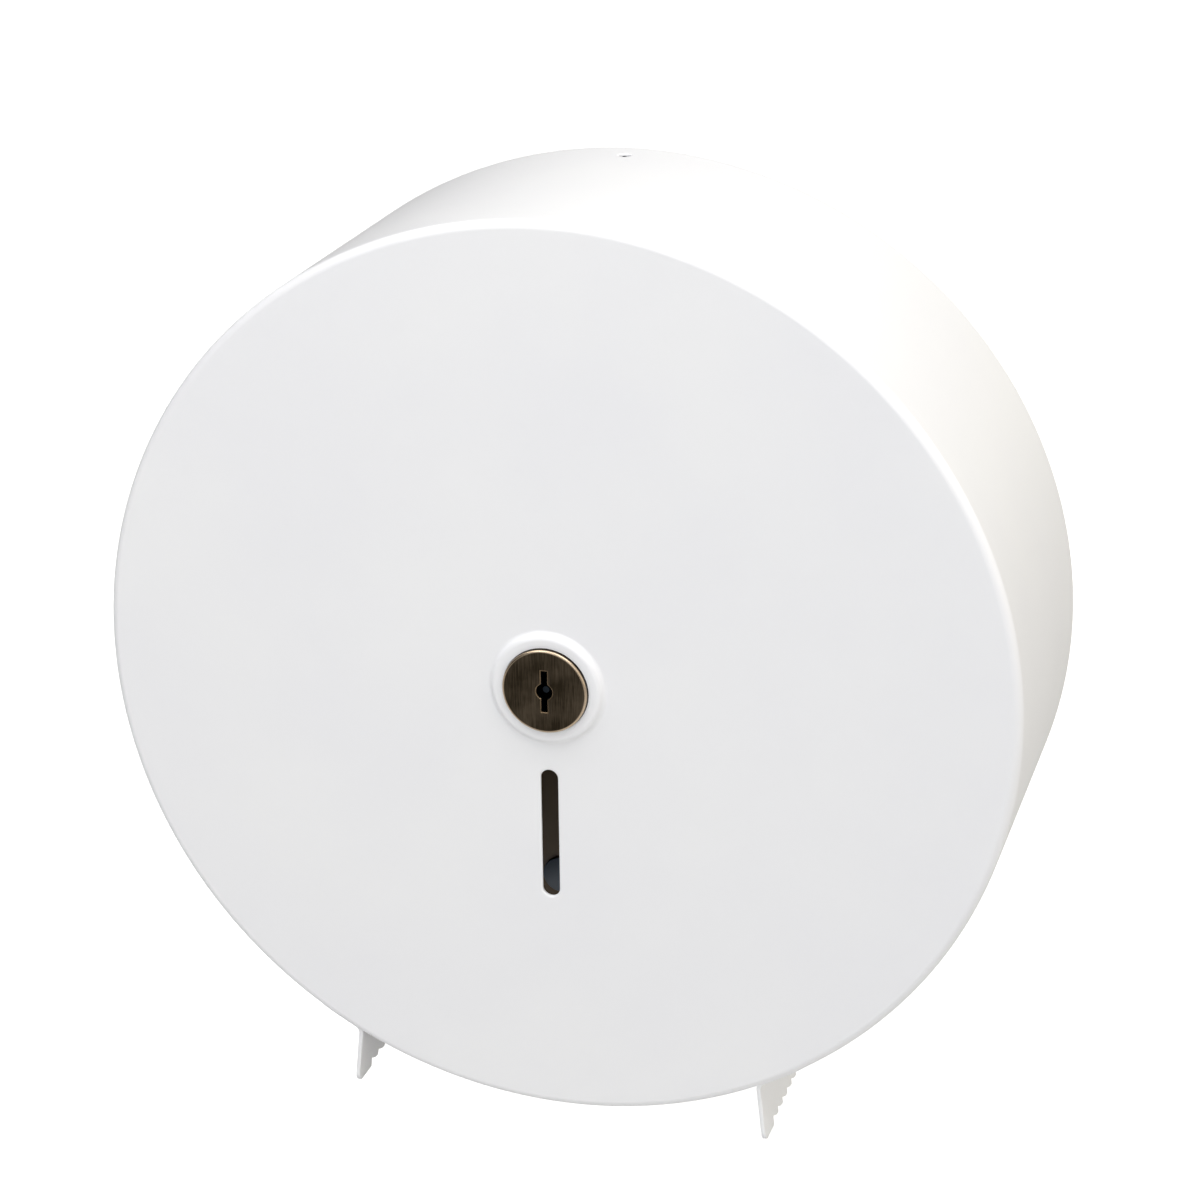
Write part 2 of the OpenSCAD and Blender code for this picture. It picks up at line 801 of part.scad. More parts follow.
module spindle_rivets() {
    head_d = 2 * rivet_d;
    color("silver")
        rotate([90, 0, 0]) spindle_rivet_places() union() {
            translate([0, 0, pad_h]) cylinder(h = plate_t + spindle_flange_t, d = rivet_d);
            translate([0, 0, flange_front_d]) dome(head_d, rivet_head_h);
            translate([0, 0, pad_h]) mirror([0, 0, 1]) dome(head_d, rivet_head_h);
        }
}

module keeper_plate() {
    skirt_r = tube_inner_r - seat_fit;
    opening_h = keeper_top + keeper_bottom;
    color("darkgray")
        difference() {
            union() {
                ring(tube_front, keeper_front, tube_r);
                ring(tube_front - keeper_skirt, tube_front, skirt_r, skirt_r - keeper_skirt_t);
            }
            sheet(tube_front, keeper_t + cut)
                translate([-keeper_half_w, -keeper_bottom]) square([2 * keeper_half_w, opening_h]);
        }
}

// Roll hub

module roll_hub() {
    seat_rear = hub_rear + bush_seat_len;
    seat_front = hub_front - bush_seat_len;
    wall_inner_r = hub_r - hub_t;
    bevel_w = 0.75 * hub_t;
    color("gainsboro")
        difference() {
            union() {
                turned() {
                    polygon([[wall_inner_r, hub_rear], [hub_r, hub_rear], [hub_r, hub_front - hub_bevel],
                        [hub_r - bevel_w, hub_front], [wall_inner_r, hub_front]]);
                    translate([hub_bore_r, hub_rear]) square([wall_inner_r - hub_bore_r, bush_seat_len]);
                    translate([hub_bore_r, seat_front]) square([wall_inner_r - hub_bore_r, bush_seat_len]);
                    translate([hub_r, hub_rear]) square([hub_flange_d / 2 - hub_r, hub_flange_t]);
                }
                for (i = [0:hub_rib_count - 1])
                    sheet(seat_rear, seat_front - seat_rear)
                        rotate(i * 360 / hub_rib_count)
                            translate([hub_bore_r, -hub_rib_w / 2])
                                square([wall_inner_r - hub_bore_r + hub_t / 2, hub_rib_w]);
            }
            sheet(hub_rear - cut, hub_flange_t + 2 * cut)
                for (i = [0:hub_hole_count - 1])
                    rotate(i * 360 / hub_hole_count + 90)
                        translate([hub_hole_circle_r, 0]) circle(hub_hole_d / 2);
        }
}

module hub_bush(seat, inward) {
    sleeve_start = inward > 0 ? seat : seat - hub_bush_len;
    flange_start = inward > 0 ? seat - hub_bush_flange_t : seat;
    color("ivory")
        union() {
            ring(sleeve_start, sleeve_start + hub_bush_len, hub_bush_r, hub_bush_inner_r);
            ring(flange_start, flange_start + hub_bush_flange_t, hub_bush_flange_d / 2, hub_bush_inner_r);
        }
}

module hub_bush_rear() {
    hub_bush(hub_rear, 1);
}

module hub_bush_front() {
    hub_bush(hub_front, -1);
}

module thrust_washer() {
    color("ivory") ring(flange_front_d, thrust_front, thrust_d / 2, tube_r + 2 * running_fit);
}

module brake_washer() {
    inner = tube_r + 2 * running_fit;
    color("lightsteelblue")
        turned()
            polygon([[inner, clip_rear - brake_t], [brake_d / 2, brake_rear],
                [brake_d / 2, brake_rear + brake_t], [inner, clip_rear]]);
}

module hub_circlip() {
    groove_r = tube_r - groove_depth + seat_fit;
    half_gap = 9;
    lug = 2.6;
    lug_r_place = clip_d / 2 + lug / 2;
    color("darkslategray")
        sheet(clip_rear, clip_t)
            difference() {
                union() {
                    circle(clip_d / 2);
                    for (a = [-1, 1])
                        rotate(90 + a * (half_gap + 6)) translate([lug_r_place, 0]) circle(lug);
                }
                circle(groove_r);
                polygon([[0, 0], for (a = [-half_gap, half_gap]) drum_r / 2 * [sin(a), cos(a)]]);
                for (a = [-1, 1])
                    rotate(90 + a * (half_gap + 6)) translate([lug_r_place + lug / 3, 0]) circle(lug / 3);
            }
}

// Hinge

module hinge_pin(side) {
    head_x = ear_inner_x - pin_head_t;
    color("silver")
        on_side(side) union() {
            on_hinge(head_x, pin_head_t, pin_head_d / 2);
            on_hinge(ear_inner_x, pin_end_x - ear_inner_x, pin_d / 2);
        }
}

module hinge_washer(side) {
    color("ivory")
        on_side(side) on_hinge(ear_outer_x, hinge_washer_t, hinge_washer_d / 2, pin_d / 2 + running_fit);
}

module hinge_bush(side) {
    inner = pin_d / 2 + running_fit;
    color("ivory")
        on_side(side) union() {
            on_hinge(bush_inner_x, bush_outer_x - bush_inner_x, hinge_bush_r, inner);
            on_hinge(bush_head_x, hinge_bush_head_t, hinge_bush_head_d / 2, inner);
        }
}

module hinge_pin_left() {
    hinge_pin(-1);
}

module hinge_pin_right() {
    hinge_pin(1);
}

module hinge_washer_left() {
    hinge_washer(-1);
}

module hinge_washer_right() {
    hinge_washer(1);
}

module hinge_bush_left() {
    hinge_bush(-1);
}

module hinge_bush_right() {
    hinge_bush(1);
}

module pin_clips() {
    color("silver")
        for (side = [-1, 1])
            on_side(side) on_hinge(pin_clip_x, pin_clip_t, pin_clip_d / 2, pin_d / 2 + seat_fit);
}

// Catch

module catch_spring() {
    foot_top = leaf_top - leaf_outer_bend_r;
    back = plate_t;
    color("lightsteelblue")
        difference() {
            union() {
                across(-leaf_w / 2, leaf_w) {
                    translate([-back - leaf_t, leaf_top - foot_len])
                        square([leaf_t, foot_len - leaf_outer_bend_r]);
                    translate([-leaf_front, leaf_top - leaf_t])
                        square([leaf_front - back - leaf_outer_bend_r, leaf_t]);
                    translate([-back - leaf_outer_bend_r, foot_top]) intersection() {
                        difference() {
                            circle(leaf_outer_bend_r);
                            circle(leaf_bend_r);
                        }
                        square(leaf_outer_bend_r);
                    }
                }
                translate([0, -catch_d, leaf_top - leaf_t / 2])
                    cylinder(h = nib_top - nib_r - leaf_top + leaf_t / 2, r = nib_r);
                translate([0, -catch_d, nib_top - nib_r]) sphere(nib_r);
            }
            sheet(0, back + leaf_t + cut)
                for (z = catch_rivet_z) translate([0, z]) circle(catch_rivet_d / 2 + seat_fit);
        }
}

module catch_rivets() {
    head_start = plate_t + leaf_t;
    color("silver")
        for (z = catch_rivet_z)
            translate([0, 0, z])
                rotate([90, 0, 0])
                    union() {
                        cylinder(h = head_start, d = catch_rivet_d);
                        translate([0, 0, head_start]) cylinder(h = catch_rivet_head_h, d = 2 * catch_rivet_d);
                    }
}

cover_shell();
lock_face();
lock_barrel();
lock_washer();
lock_nut();
lock_rotor();
key_post();
lock_cam();
cam_washer();
cam_screw();
hinge_bush_left();
hinge_bush_right();
back_plate();
spindle_flange();
spindle_tube();
spindle_rivets();
keeper_plate();
thrust_washer();
roll_hub();
hub_bush_rear();
hub_bush_front();
brake_washer();
hub_circlip();
hinge_pin_left();
hinge_pin_right();
hinge_washer_left();
hinge_washer_right();
pin_clips();
catch_spring();
catch_rivets();
hole_plugs();
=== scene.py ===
import json
import math

import bmesh
import bpy
from mathutils import Matrix, Vector

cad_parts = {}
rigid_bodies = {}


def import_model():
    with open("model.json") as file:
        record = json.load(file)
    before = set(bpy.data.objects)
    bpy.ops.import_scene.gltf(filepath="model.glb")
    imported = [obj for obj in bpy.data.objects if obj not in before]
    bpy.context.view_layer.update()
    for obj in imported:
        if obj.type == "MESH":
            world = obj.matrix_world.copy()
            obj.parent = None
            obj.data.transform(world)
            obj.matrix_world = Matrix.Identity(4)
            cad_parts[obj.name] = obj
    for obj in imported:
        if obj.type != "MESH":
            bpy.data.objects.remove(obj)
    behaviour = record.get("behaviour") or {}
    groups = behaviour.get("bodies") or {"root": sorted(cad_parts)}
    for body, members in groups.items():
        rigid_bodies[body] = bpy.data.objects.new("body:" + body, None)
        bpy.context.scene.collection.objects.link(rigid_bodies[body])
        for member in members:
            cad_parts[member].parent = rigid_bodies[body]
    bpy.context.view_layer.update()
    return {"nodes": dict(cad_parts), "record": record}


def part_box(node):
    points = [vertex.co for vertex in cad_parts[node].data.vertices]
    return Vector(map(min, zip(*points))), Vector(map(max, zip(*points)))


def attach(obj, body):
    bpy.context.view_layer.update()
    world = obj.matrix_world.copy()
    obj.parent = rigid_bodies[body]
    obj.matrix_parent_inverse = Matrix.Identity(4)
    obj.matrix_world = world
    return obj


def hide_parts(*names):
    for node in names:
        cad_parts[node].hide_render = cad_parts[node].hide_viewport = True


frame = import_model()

bl_info = {
    "name": "Jumbo Roll Dispenser",
    "version": (1, 0, 0),
    "blender": (4, 5, 0),
    "location": "3D View > Sidebar > Dispenser",
    "description": "Shapes and finishes of a round steel dispenser for a jumbo toilet roll",
    "category": "Object",
}

MM = 0.001
NODES = frame["nodes"]
COVER_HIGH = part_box("cover_shell")[1]
CAP_LOW, CAP_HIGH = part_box("lock_face")

# Points closer than this become one, and faces that meet at a sharper angle keep their edge
WELD = 0.01 * MM
SPLIT_ANGLE = math.radians(35)

# Faces round the drum, its front edge, the ring, the slot, the catch hole, a bend, a lip beside a bend,
# a pin's hole, the lock cap, the cap's edge, half of the keyhole's middle, and a plug
RIM_STEPS, EDGE_STEPS, RING_STEPS, SLOT_STEPS, HOLE_STEPS, BEND_STEPS = 472, 14, 144, 46, 24, 10
LIP_STEPS, PIN_STEPS, CAP_STEPS, CAP_EDGE_STEPS, KEYHOLE_STEPS, PLUG_STEPS = 12, 32, 120, 8, 14, 56

# Rows of faces along the drum: in front of the catch hole, beside it, and behind it
FRONT_ROWS = [d * MM for d in (100, 93, 85, 76, 67, 58, 49, 40, 32, 25)]
HOLE_ROWS = [i * 2.2 * MM for i in (3, 2, 1, 0, -1, -2, -3)]
LAST_ROW = 3.5 * MM

SLOT_RIM = 1.2 * MM
PIN_HOLE_RADIUS = 3.62 * MM

# Sockets of a Mix node for colours: its factor, its two colours and its result
FACTOR, FIRST, SECOND, MIXED = 0, 6, 7, 2

# Name, place, side in metres, watts and colour of each soft lamp, and the point that all of them face
LAMPS = (
    ("top", (0.38, -0.3, 1.25), 1.0, 12.0, "FFFFFF"),
    ("left", (-0.6, -0.6, 1.2), 1.0, 9.6, "FFFFFF"),
    ("front", (-0.5, -1.9, 0.9), 1.4, 10.5, "F9FBFF"),
    ("near", (0.45, -1.0, 0.45), 0.5, 1.3, "E8F0FF"),
)
LAMP_TARGET = (0, -0.05, 0)

# The photograph's camera: its own right, up and backward directions, its place and its focal length
CAMERA_AXES = (
    (0.957202, 0.289208, -0.011129),
    (-0.09438, 0.348261, 0.932634),
    (0.273601, -0.891669, 0.360652),
)
CAMERA_PLACE = (0.28222, -0.96679, 0.38044)
CAMERA_LENS = 90.67


# Sizes and colours

def linear(code):
    """An sRGB hex colour as linear red, green, blue and an alpha of 1."""
    parts = [int(code[i:i + 2], 16) / 255 for i in (0, 2, 4)]
    rgb = [p / 12.92 if p <= 0.04045 else ((p + 0.055) / 1.055) ** 2.4 for p in parts]
    return (*rgb, 1.0)


def size(name, text, default):
    return bpy.props.FloatProperty(
        name=name, description=text, default=default, unit="LENGTH", precision=5)


def angle(name, text, degrees):
    return bpy.props.FloatProperty(
        name=name, description=text, default=math.radians(degrees), subtype="ANGLE")


def colour(name, text, code):
    return bpy.props.FloatVectorProperty(
        name=name, description=text, default=linear(code), size=4, subtype="COLOR", min=0, max=1)


class DispenserSizes(bpy.types.PropertyGroup):
    drum_radius: size("Drum radius", "Outside radius of the drum cover", COVER_HIGH.x)
    front: size("Front", "Distance from the wall to the flat front of the cover", 106.5 * MM)
    rear: size("Rear rim", "Distance from the wall to the cover's rear rim", -COVER_HIGH.y)
    sheet: size("Sheet", "Thickness of the coated sheet of the cover", 1.5 * MM)
    edge: size("Edge radius", "Outside radius of the cover's rounded front edge", 3 * MM)
    lip: size("Coated edge", "Radius to which the coat rounds a cut edge of the sheet", 0.42 * MM)
    ring_radius: size("Ring radius", "Radius of the crest of the raised ring", 17 * MM)
    ring_section: size("Ring section", "Radius of the ring's rounded section", 2.1 * MM)
    ring_sink: size("Ring sink", "How far that section's centre lies behind the front", 0.1 * MM)
    ring_foot: size("Ring foot", "Radius of the hollow at the ring's outer foot", 1.6 * MM)
    ring_inside: size("Ring inside", "Radius of the wall inside the ring, round the cap", 14.62 * MM)
    slot_width: size("Slot width", "Width of the viewing slot", 5.8 * MM)
    slot_length: size("Slot length", "Length of the slot, round ends included", 45.8 * MM)
    slot_dip: size("Slot dip", "How far the punch pressed the slot's edge back", 0.22 * MM)
    slot_drop: size("Slot drop", "Distance from the lock's axis down to the slot", 29.4 * MM)
    hole: size("Catch hole", "Diameter of the hole at the top", 4.4 * MM)
    hole_front: size("Catch hole place", "Distance from the wall to that hole's centre", 13.1 * MM)
    bend: size("Bend radius", "Inside radius of the bend between drum and flange", 2.5 * MM)
    flange_x: size("Flange place", "Half the distance between the flanges at their bends", 72 * MM)
    lean: angle("Flange lean", "Angle by which the flanges lean outwards", 6)
    lip_turn: angle("Lip", "Angle over which the drum's front edge stands out beside a bend", 9)
    flange_front: size("Flange front", "Distance from the wall to the flanges' front edges", 105 * MM)
    teeth_drop: size("Teeth", "How far the teeth reach below the drum's axis", 157.8 * MM)
    pitch: size("Tooth pitch", "Pitch of the teeth", 6.5 * MM)
    tooth: size("Tooth depth", "Depth of the teeth", 2.1 * MM)
    hinge_front: size("Hinge place", "Distance from the wall to the hinge's axis", 10.5 * MM)
    hinge_drop: size("Hinge drop", "Distance of the hinge's axis below the drum's axis", 149.8 * MM)
    cap_radius: size("Cap radius", "Radius of the lock cap", CAP_HIGH.x)
    cap_front: size("Cap front", "Distance from the wall to the front of the lock cap", -CAP_LOW.y)
    cap_edge: size("Cap edge", "Radius of the cap's rounded front edge", 0.8 * MM)
    cap_lip: size("Keyhole lip", "Radius of the rounded edges of the keyhole", 0.38 * MM)
    plug_x: size("Plug place", "Distance of the hole plugs from the middle", 30 * MM)
    plug_drop: size("Plug drop", "Distance of the hole plugs below the drum's axis", 121 * MM)
    plug_head: size("Plug head", "Radius of the heads of the hole plugs", 7 * MM)
    plug_neck: size("Plug neck", "Radius of the plugs' necks in the holes", 4.9 * MM)


class DispenserColours(bpy.types.PropertyGroup):
    coat: colour("Cover coat", "White powder coat of the cover", "ECECED")
    coat_thick: colour("Cover coat, thick", "The same coat where it lies thicker", "EAEAEC")
    plate: colour("Plate coat", "Dark bronze powder coat of the back plate", "4E3B1E")
    plate_thick: colour("Plate coat, thick", "The same coat where it lies thicker", "48361B")
    bronze: colour("Bronze", "Dark patina of the lock cap", "2C251B")
    # Partly worn metal, partly a painted highlight on the cap's edge
    rubbed: colour("Rubbed bronze", "Brighter bronze at the cap's edge", "C9B49B")
    # Partly worn metal, partly a painted glint on the keyhole's edge
    keyhole: colour("Keyhole edge", "Bronze that the key has rubbed", "7C6A54")
    blued: colour("Blued steel", "Blued steel of the lock's rotor", "22282F")
    zinc: colour("Zinc", "Bright zinc plate of the steel fittings", "B9BCBF")
    casting: colour("Casting", "Bare zinc casting of the lock's barrel", "A6A7A9")
    spring: colour("Spring steel", "Bare spring steel", "8A8C8F")
    nylon: colour("Nylon", "Natural nylon of bushes and washers", "DDD8C8")
    hub: colour("Hub plastic", "Grey moulded plastic of the roll hub", "8D9094")
    plug: colour("Plug plastic", "Dark moulded plastic of the hole plugs", "454F5B")
    floor: colour("Floor", "Pale floor and backdrop", "F4F4F4")


# Places and outlines

def place(turn, radius, distance):
    """The point at an angle from six o'clock, a radius from the drum's axis and a distance from
    the wall."""
    return Vector((radius * math.sin(turn), -distance, -radius * math.cos(turn)))


def polar(point):
    """Angle from six o'clock, radius and distance from the wall of a point."""
    return math.atan2(point.x, -point.z), math.hypot(point.x, point.z), -point.y


def same(a, b, gap=0.05 * MM):
    return abs(a - b) < gap


def arc(centre, radius, start, end, steps):
    """Points of an arc in a plane, from one angle in degrees to another."""
    turns = [math.radians(start + (end - start) * i / steps) for i in range(steps + 1)]
    return [(centre[0] + radius * math.cos(t), centre[1] + radius * math.sin(t)) for t in turns]


def rounded(radius, front, edge, steps):
    """Radius and distance from the wall along a rounded front edge, from the front outwards."""
    turns = [math.pi / 2 * i / steps for i in range(steps + 1)]
    return [(radius - edge + edge * math.sin(t), front - edge + edge * math.cos(t)) for t in turns]


# Editing

def active():
    return bpy.context.object


def pick(kind, test):
    """In edit mode, selects the verts, edges or faces that pass a test, and nothing else."""
    bpy.ops.mesh.select_mode(type={"verts": "VERT", "edges": "EDGE", "faces": "FACE"}[kind])
    bpy.ops.mesh.select_all(action="DESELECT")
    mesh = bmesh.from_edit_mesh(active().data)
    found = [item for item in getattr(mesh, kind) if test(item)]
    if not found:
        raise RuntimeError(f"{active().name}: no {kind} at that place")
    for item in found:
        item.select_set(True)
    mesh.select_flush_mode()
    bmesh.update_edit_mesh(active().data)


def both_ends(edge, test):
    return all(test(v.co) for v in edge.verts)


def add_circle(radius, centre, steps, turn=(math.pi / 2, 0, 0), fill="NOTHING"):
    """Adds a circle, which faces the room unless it is turned another way."""
    if active() and active().mode == "EDIT":
        bpy.ops.mesh.select_mode(type="VERT")
    bpy.ops.mesh.primitive_circle_add(
        vertices=steps, radius=radius, fill_type=fill, location=centre, rotation=turn)


def start_circle(name, radius, centre, steps, fill="NOTHING"):
    """Starts a piece from a circle, and opens it in edit mode with all of it selected."""
    if active() and active().mode == "EDIT":
        bpy.ops.object.mode_set(mode="OBJECT")
    bpy.ops.object.select_all(action="DESELECT")
    add_circle(radius, centre, steps, fill=fill)
    bpy.ops.object.transform_apply(location=True, rotation=True, scale=True)
    piece = active()
    piece.name = piece.data.name = name
    bpy.ops.object.mode_set(mode="EDIT")
    bpy.ops.mesh.select_all(action="SELECT")
    return piece


def pull(profile):
    """Extrudes the selected rings along a profile of radius and distance from the wall."""
    for (r0, d0), (r1, d1) in zip(profile, profile[1:]):
        bpy.ops.mesh.extrude_region_move(TRANSFORM_OT_translate={"value": (0, d0 - d1, 0)})
        if not same(r0, r1, 1e-9):
            bpy.ops.transform.resize(value=(r1 / r0, 1, r1 / r0), center_override=(0, -d1, 0))


def draw(points):
    """Draws a chain of edges through points and leaves it selected."""
    bpy.ops.mesh.select_mode(type="VERT")
    bpy.ops.mesh.select_all(action="DESELECT")
    bpy.ops.mesh.primitive_plane_add(size=MM, location=points[0])
    bpy.ops.mesh.merge(type="CENTER")
    for here, there in zip(points, points[1:]):
        bpy.ops.mesh.extrude_region_move(
            TRANSFORM_OT_translate={"value": Vector(there) - Vector(here)})
    bpy.ops.mesh.select_linked()


def modify(piece, kind, **settings):
    """Adds a modifier with its settings and applies it."""
    modifier = piece.modifiers.new(kind.title(), kind)
    for name, value in settings.items():
        setattr(modifier, name, value)
    bpy.ops.object.modifier_apply(modifier=modifier.name)


def thicken(piece, thickness, lip):
    """Gives a sheet its thickness inwards, and rounds its cut edges as the coat does. A second
    material marks the cut edges meanwhile."""
    bpy.ops.object.mode_set(mode="OBJECT")
    for _ in range(2):
        bpy.ops.object.material_slot_add()
    modify(piece, "SOLIDIFY", thickness=thickness, offset=-1, use_even_offset=True,
           use_quality_normals=True, material_offset_rim=1)
    bpy.ops.object.mode_set(mode="EDIT")
    pick("edges", lambda e: len(e.link_faces) == 2
         and e.link_faces[0].material_index != e.link_faces[1].material_index)
    bpy.ops.mesh.bevel(
        offset=lip, offset_type="OFFSET", segments=3, affect="EDGES", clamp_overlap=False)
    bpy.ops.object.mode_set(mode="OBJECT")
    for polygon in piece.data.polygons:
        polygon.material_index = 0
    for _ in range(2):
        bpy.ops.object.material_slot_remove()


def face_out(front):
    """Turns all faces outwards, so that those at the front look into the room."""
    bpy.ops.mesh.select_all(action="SELECT")
    bpy.ops.mesh.normals_make_consistent(inside=False)
    mesh = bmesh.from_edit_mesh(active().data)
    ahead = next(f for f in mesh.faces if same(-f.calc_center_median().y, front))
    if ahead.normal.y > 0:
        bpy.ops.mesh.flip_normals()


def smooth(piece):
    """Shades the curved faces smooth and keeps the flat ones flat."""
    if piece.mode == "EDIT":
        bpy.ops.object.mode_set(mode="OBJECT")
    bpy.ops.object.select_all(action="DESELECT")
    piece.select_set(True)
    bpy.context.view_layer.objects.active = piece
    bpy.ops.object.shade_smooth_by_angle(angle=SPLIT_ANGLE)
    modify(piece, "WEIGHTED_NORMAL", weight=100, keep_sharp=True)


def finish_piece(piece, body, slot, *nodes):
    """Gives a piece the material of a slot and its body, and hides the nodes that it stands for."""
    piece.data.materials.clear()
    piece.data.materials.append(material(slot))
    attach(piece, body)
    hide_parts(*nodes)


# Materials

def new_material(name):
    """A material and its node tree, which is empty."""
    made = bpy.data.materials.new(name)
    made.use_nodes = True
    made.node_tree.nodes.clear()
    return made, made.node_tree


def node(tree, kind, inputs=None, **settings):
    """Adds a node with its settings; an input that is another node's output is linked."""
    made = tree.nodes.new(kind)
    for name, value in settings.items():
        setattr(made, name, value)
    for name, value in (inputs or {}).items():
        if isinstance(value, bpy.types.NodeSocket):
            tree.links.new(value, made.inputs[name])
        else:
            made.inputs[name].default_value = value
    return made


def darker(base, share):
    return [share * part for part in base[:3]] + [1.0]


def powder_coat(name, base, thick, peel, roughness):
    """Powder coat on steel sheet, sprayed and baked: a satin polymer skin that flows into a shallow
    orange peel, so that its gloss breaks up, and whose colour drifts a little with its thickness."""
    made, tree = new_material(name)
    spot = node(tree, "ShaderNodeTexCoord").outputs["Object"]
    drift = node(tree, "ShaderNodeTexNoise", {
        "Vector": spot, "Scale": 1 / (60 * MM), "Detail": 2.0})
    # The peel's waves, and the coat's grain, drawn at 0.5 mm because the real 0.1 mm would not show
    waves = node(tree, "ShaderNodeTexNoise", {
        "Vector": spot, "Scale": 1 / (peel * MM), "Detail": 1.0})
    grain = node(tree, "ShaderNodeTexNoise", {
        "Vector": spot, "Scale": 1 / (0.5 * MM), "Detail": 2.0})
    low = node(tree, "ShaderNodeBump", {
        "Height": grain.outputs["Fac"], "Strength": 0.12, "Distance": 0.01 * MM})
    skin = node(tree, "ShaderNodeBump", {
        "Height": waves.outputs["Fac"], "Strength": 0.3, "Distance": 0.03 * MM,
        "Normal": low.outputs["Normal"]})
    gloss = node(tree, "ShaderNodeMapRange", {
        "Value": grain.outputs["Fac"], "From Min": 0.3, "From Max": 0.7,
        "To Min": roughness - 0.04, "To Max": roughness + 0.05})
    shade = node(tree, "ShaderNodeMapRange", {
        "Value": drift.outputs["Fac"], "From Min": 0.35, "From Max": 0.65})
    tone = node(tree, "ShaderNodeMix", {
        FACTOR: shade.outputs[0], FIRST: base, SECOND: thick}, data_type="RGBA")
    shader = node(tree, "ShaderNodeBsdfPrincipled", {
        "Base Color": tone.outputs[MIXED], "Roughness": gloss.outputs[0],
        "Normal": skin.outputs["Normal"], "IOR": 1.5})
    node(tree, "ShaderNodeOutputMaterial", {"Surface": shader.outputs[0]})
    return made


def brushed_bronze(name, dark, rubbed, radius, front):
    """Antique bronze plate, brushed upright and lacquered: dark patina in fine upright lines, and a
    brighter bronze on the cap's rounded front edge, partly worn metal and partly a painted highlight."""
    made, tree = new_material(name)
    spot = node(tree, "ShaderNodeTexCoord").outputs["Object"]
    # Brush lines 0.22 mm apart and 7 mm long
    lines = node(tree, "ShaderNodeMapping", {
        "Vector": spot, "Scale": (1 / (0.22 * MM), 1 / (6 * MM), 1 / (7 * MM))})
    strokes = node(tree, "ShaderNodeTexNoise", {
        "Vector": lines.outputs[0], "Scale": 1.0, "Detail": 3.0})
    cloud = node(tree, "ShaderNodeTexNoise", {
        "Vector": spot, "Scale": 1 / (9 * MM), "Detail": 3.0})
    patina = node(tree, "ShaderNodeMath", {
        0: strokes.outputs["Fac"], 1: cloud.outputs["Fac"]}, operation="ADD")
    shade = node(tree, "ShaderNodeMapRange", {
        "Value": patina.outputs[0], "From Min": 0.8, "From Max": 1.25})
    thin = [0.9 * a + 0.1 * b for a, b in zip(dark, rubbed)]
    base = node(tree, "ShaderNodeMix", {
        FACTOR: shade.outputs[0], FIRST: dark, SECOND: thin}, data_type="RGBA")
    # The edge, worn and given a painted highlight, is what lies far out, and far enough ahead that the
    # cap's side stays dark
    flat = node(tree, "ShaderNodeMapping", {"Vector": spot, "Scale": (1, 0, 1)})
    out = node(tree, "ShaderNodeVectorMath", {0: flat.outputs[0]}, operation="LENGTH")
    rim = node(tree, "ShaderNodeMapRange", {
        "Value": out.outputs["Value"], "From Min": radius - 0.9 * MM,
        "From Max": radius - 0.45 * MM})
    depth = node(tree, "ShaderNodeSeparateXYZ", {0: spot})
    ahead = node(tree, "ShaderNodeMapRange", {
        "Value": depth.outputs["Y"], "From Min": 0.7 * MM - front, "From Max": 0.3 * MM - front})
    edge = node(tree, "ShaderNodeMath", {
        0: rim.outputs[0], 1: ahead.outputs[0]}, operation="MULTIPLY")
    bump = node(tree, "ShaderNodeBump", {
        "Height": strokes.outputs["Fac"], "Strength": 0.35, "Distance": 0.02 * MM})
    rough = node(tree, "ShaderNodeMapRange", {
        "Value": edge.outputs[0], "To Min": 0.42, "To Max": 0.26})
    # The edge's brighter bronze: worn metal and a painted highlight
    tone = node(tree, "ShaderNodeMix", {
        FACTOR: edge.outputs[0], FIRST: base.outputs[MIXED], SECOND: rubbed}, data_type="RGBA")
    shader = node(tree, "ShaderNodeBsdfPrincipled", {
        "Base Color": tone.outputs[MIXED], "Metallic": 1.0, "Roughness": rough.outputs[0],
        "Normal": bump.outputs["Normal"]})
    node(tree, "ShaderNodeOutputMaterial", {"Surface": shader.outputs[0]})
    return made


def metal(name, base, grain, roughness, spread):
    """Plated, cast or rolled metal: a soft cloudy grain that shifts both tone and gloss."""
    made, tree = new_material(name)
    spot = node(tree, "ShaderNodeTexCoord").outputs["Object"]
    cloud = node(tree, "ShaderNodeTexNoise", {
        "Vector": spot, "Scale": 1 / (grain * MM), "Detail": 4.0})
    fine = node(tree, "ShaderNodeTexNoise", {
        "Vector": spot, "Scale": 1 / (0.3 * MM), "Detail": 2.0})
    shade = node(tree, "ShaderNodeMapRange", {
        "Value": cloud.outputs["Fac"], "From Min": 0.3, "From Max": 0.7})
    gloss = node(tree, "ShaderNodeMapRange", {
        "Value": cloud.outputs["Fac"], "From Min": 0.3, "From Max": 0.7,
        "To Min": roughness + spread, "To Max": roughness - spread})
    bump = node(tree, "ShaderNodeBump", {
        "Height": fine.outputs["Fac"], "Strength": 0.2, "Distance": 0.01 * MM})
    tone = node(tree, "ShaderNodeMix", {
        FACTOR: shade.outputs[0], FIRST: darker(base, 0.8), SECOND: base}, data_type="RGBA")
    shader = node(tree, "ShaderNodeBsdfPrincipled", {
        "Base Color": tone.outputs[MIXED], "Metallic": 1.0, "Roughness": gloss.outputs[0],
        "Normal": bump.outputs["Normal"]})
    node(tree, "ShaderNodeOutputMaterial", {"Surface": shader.outputs[0]})
    return made


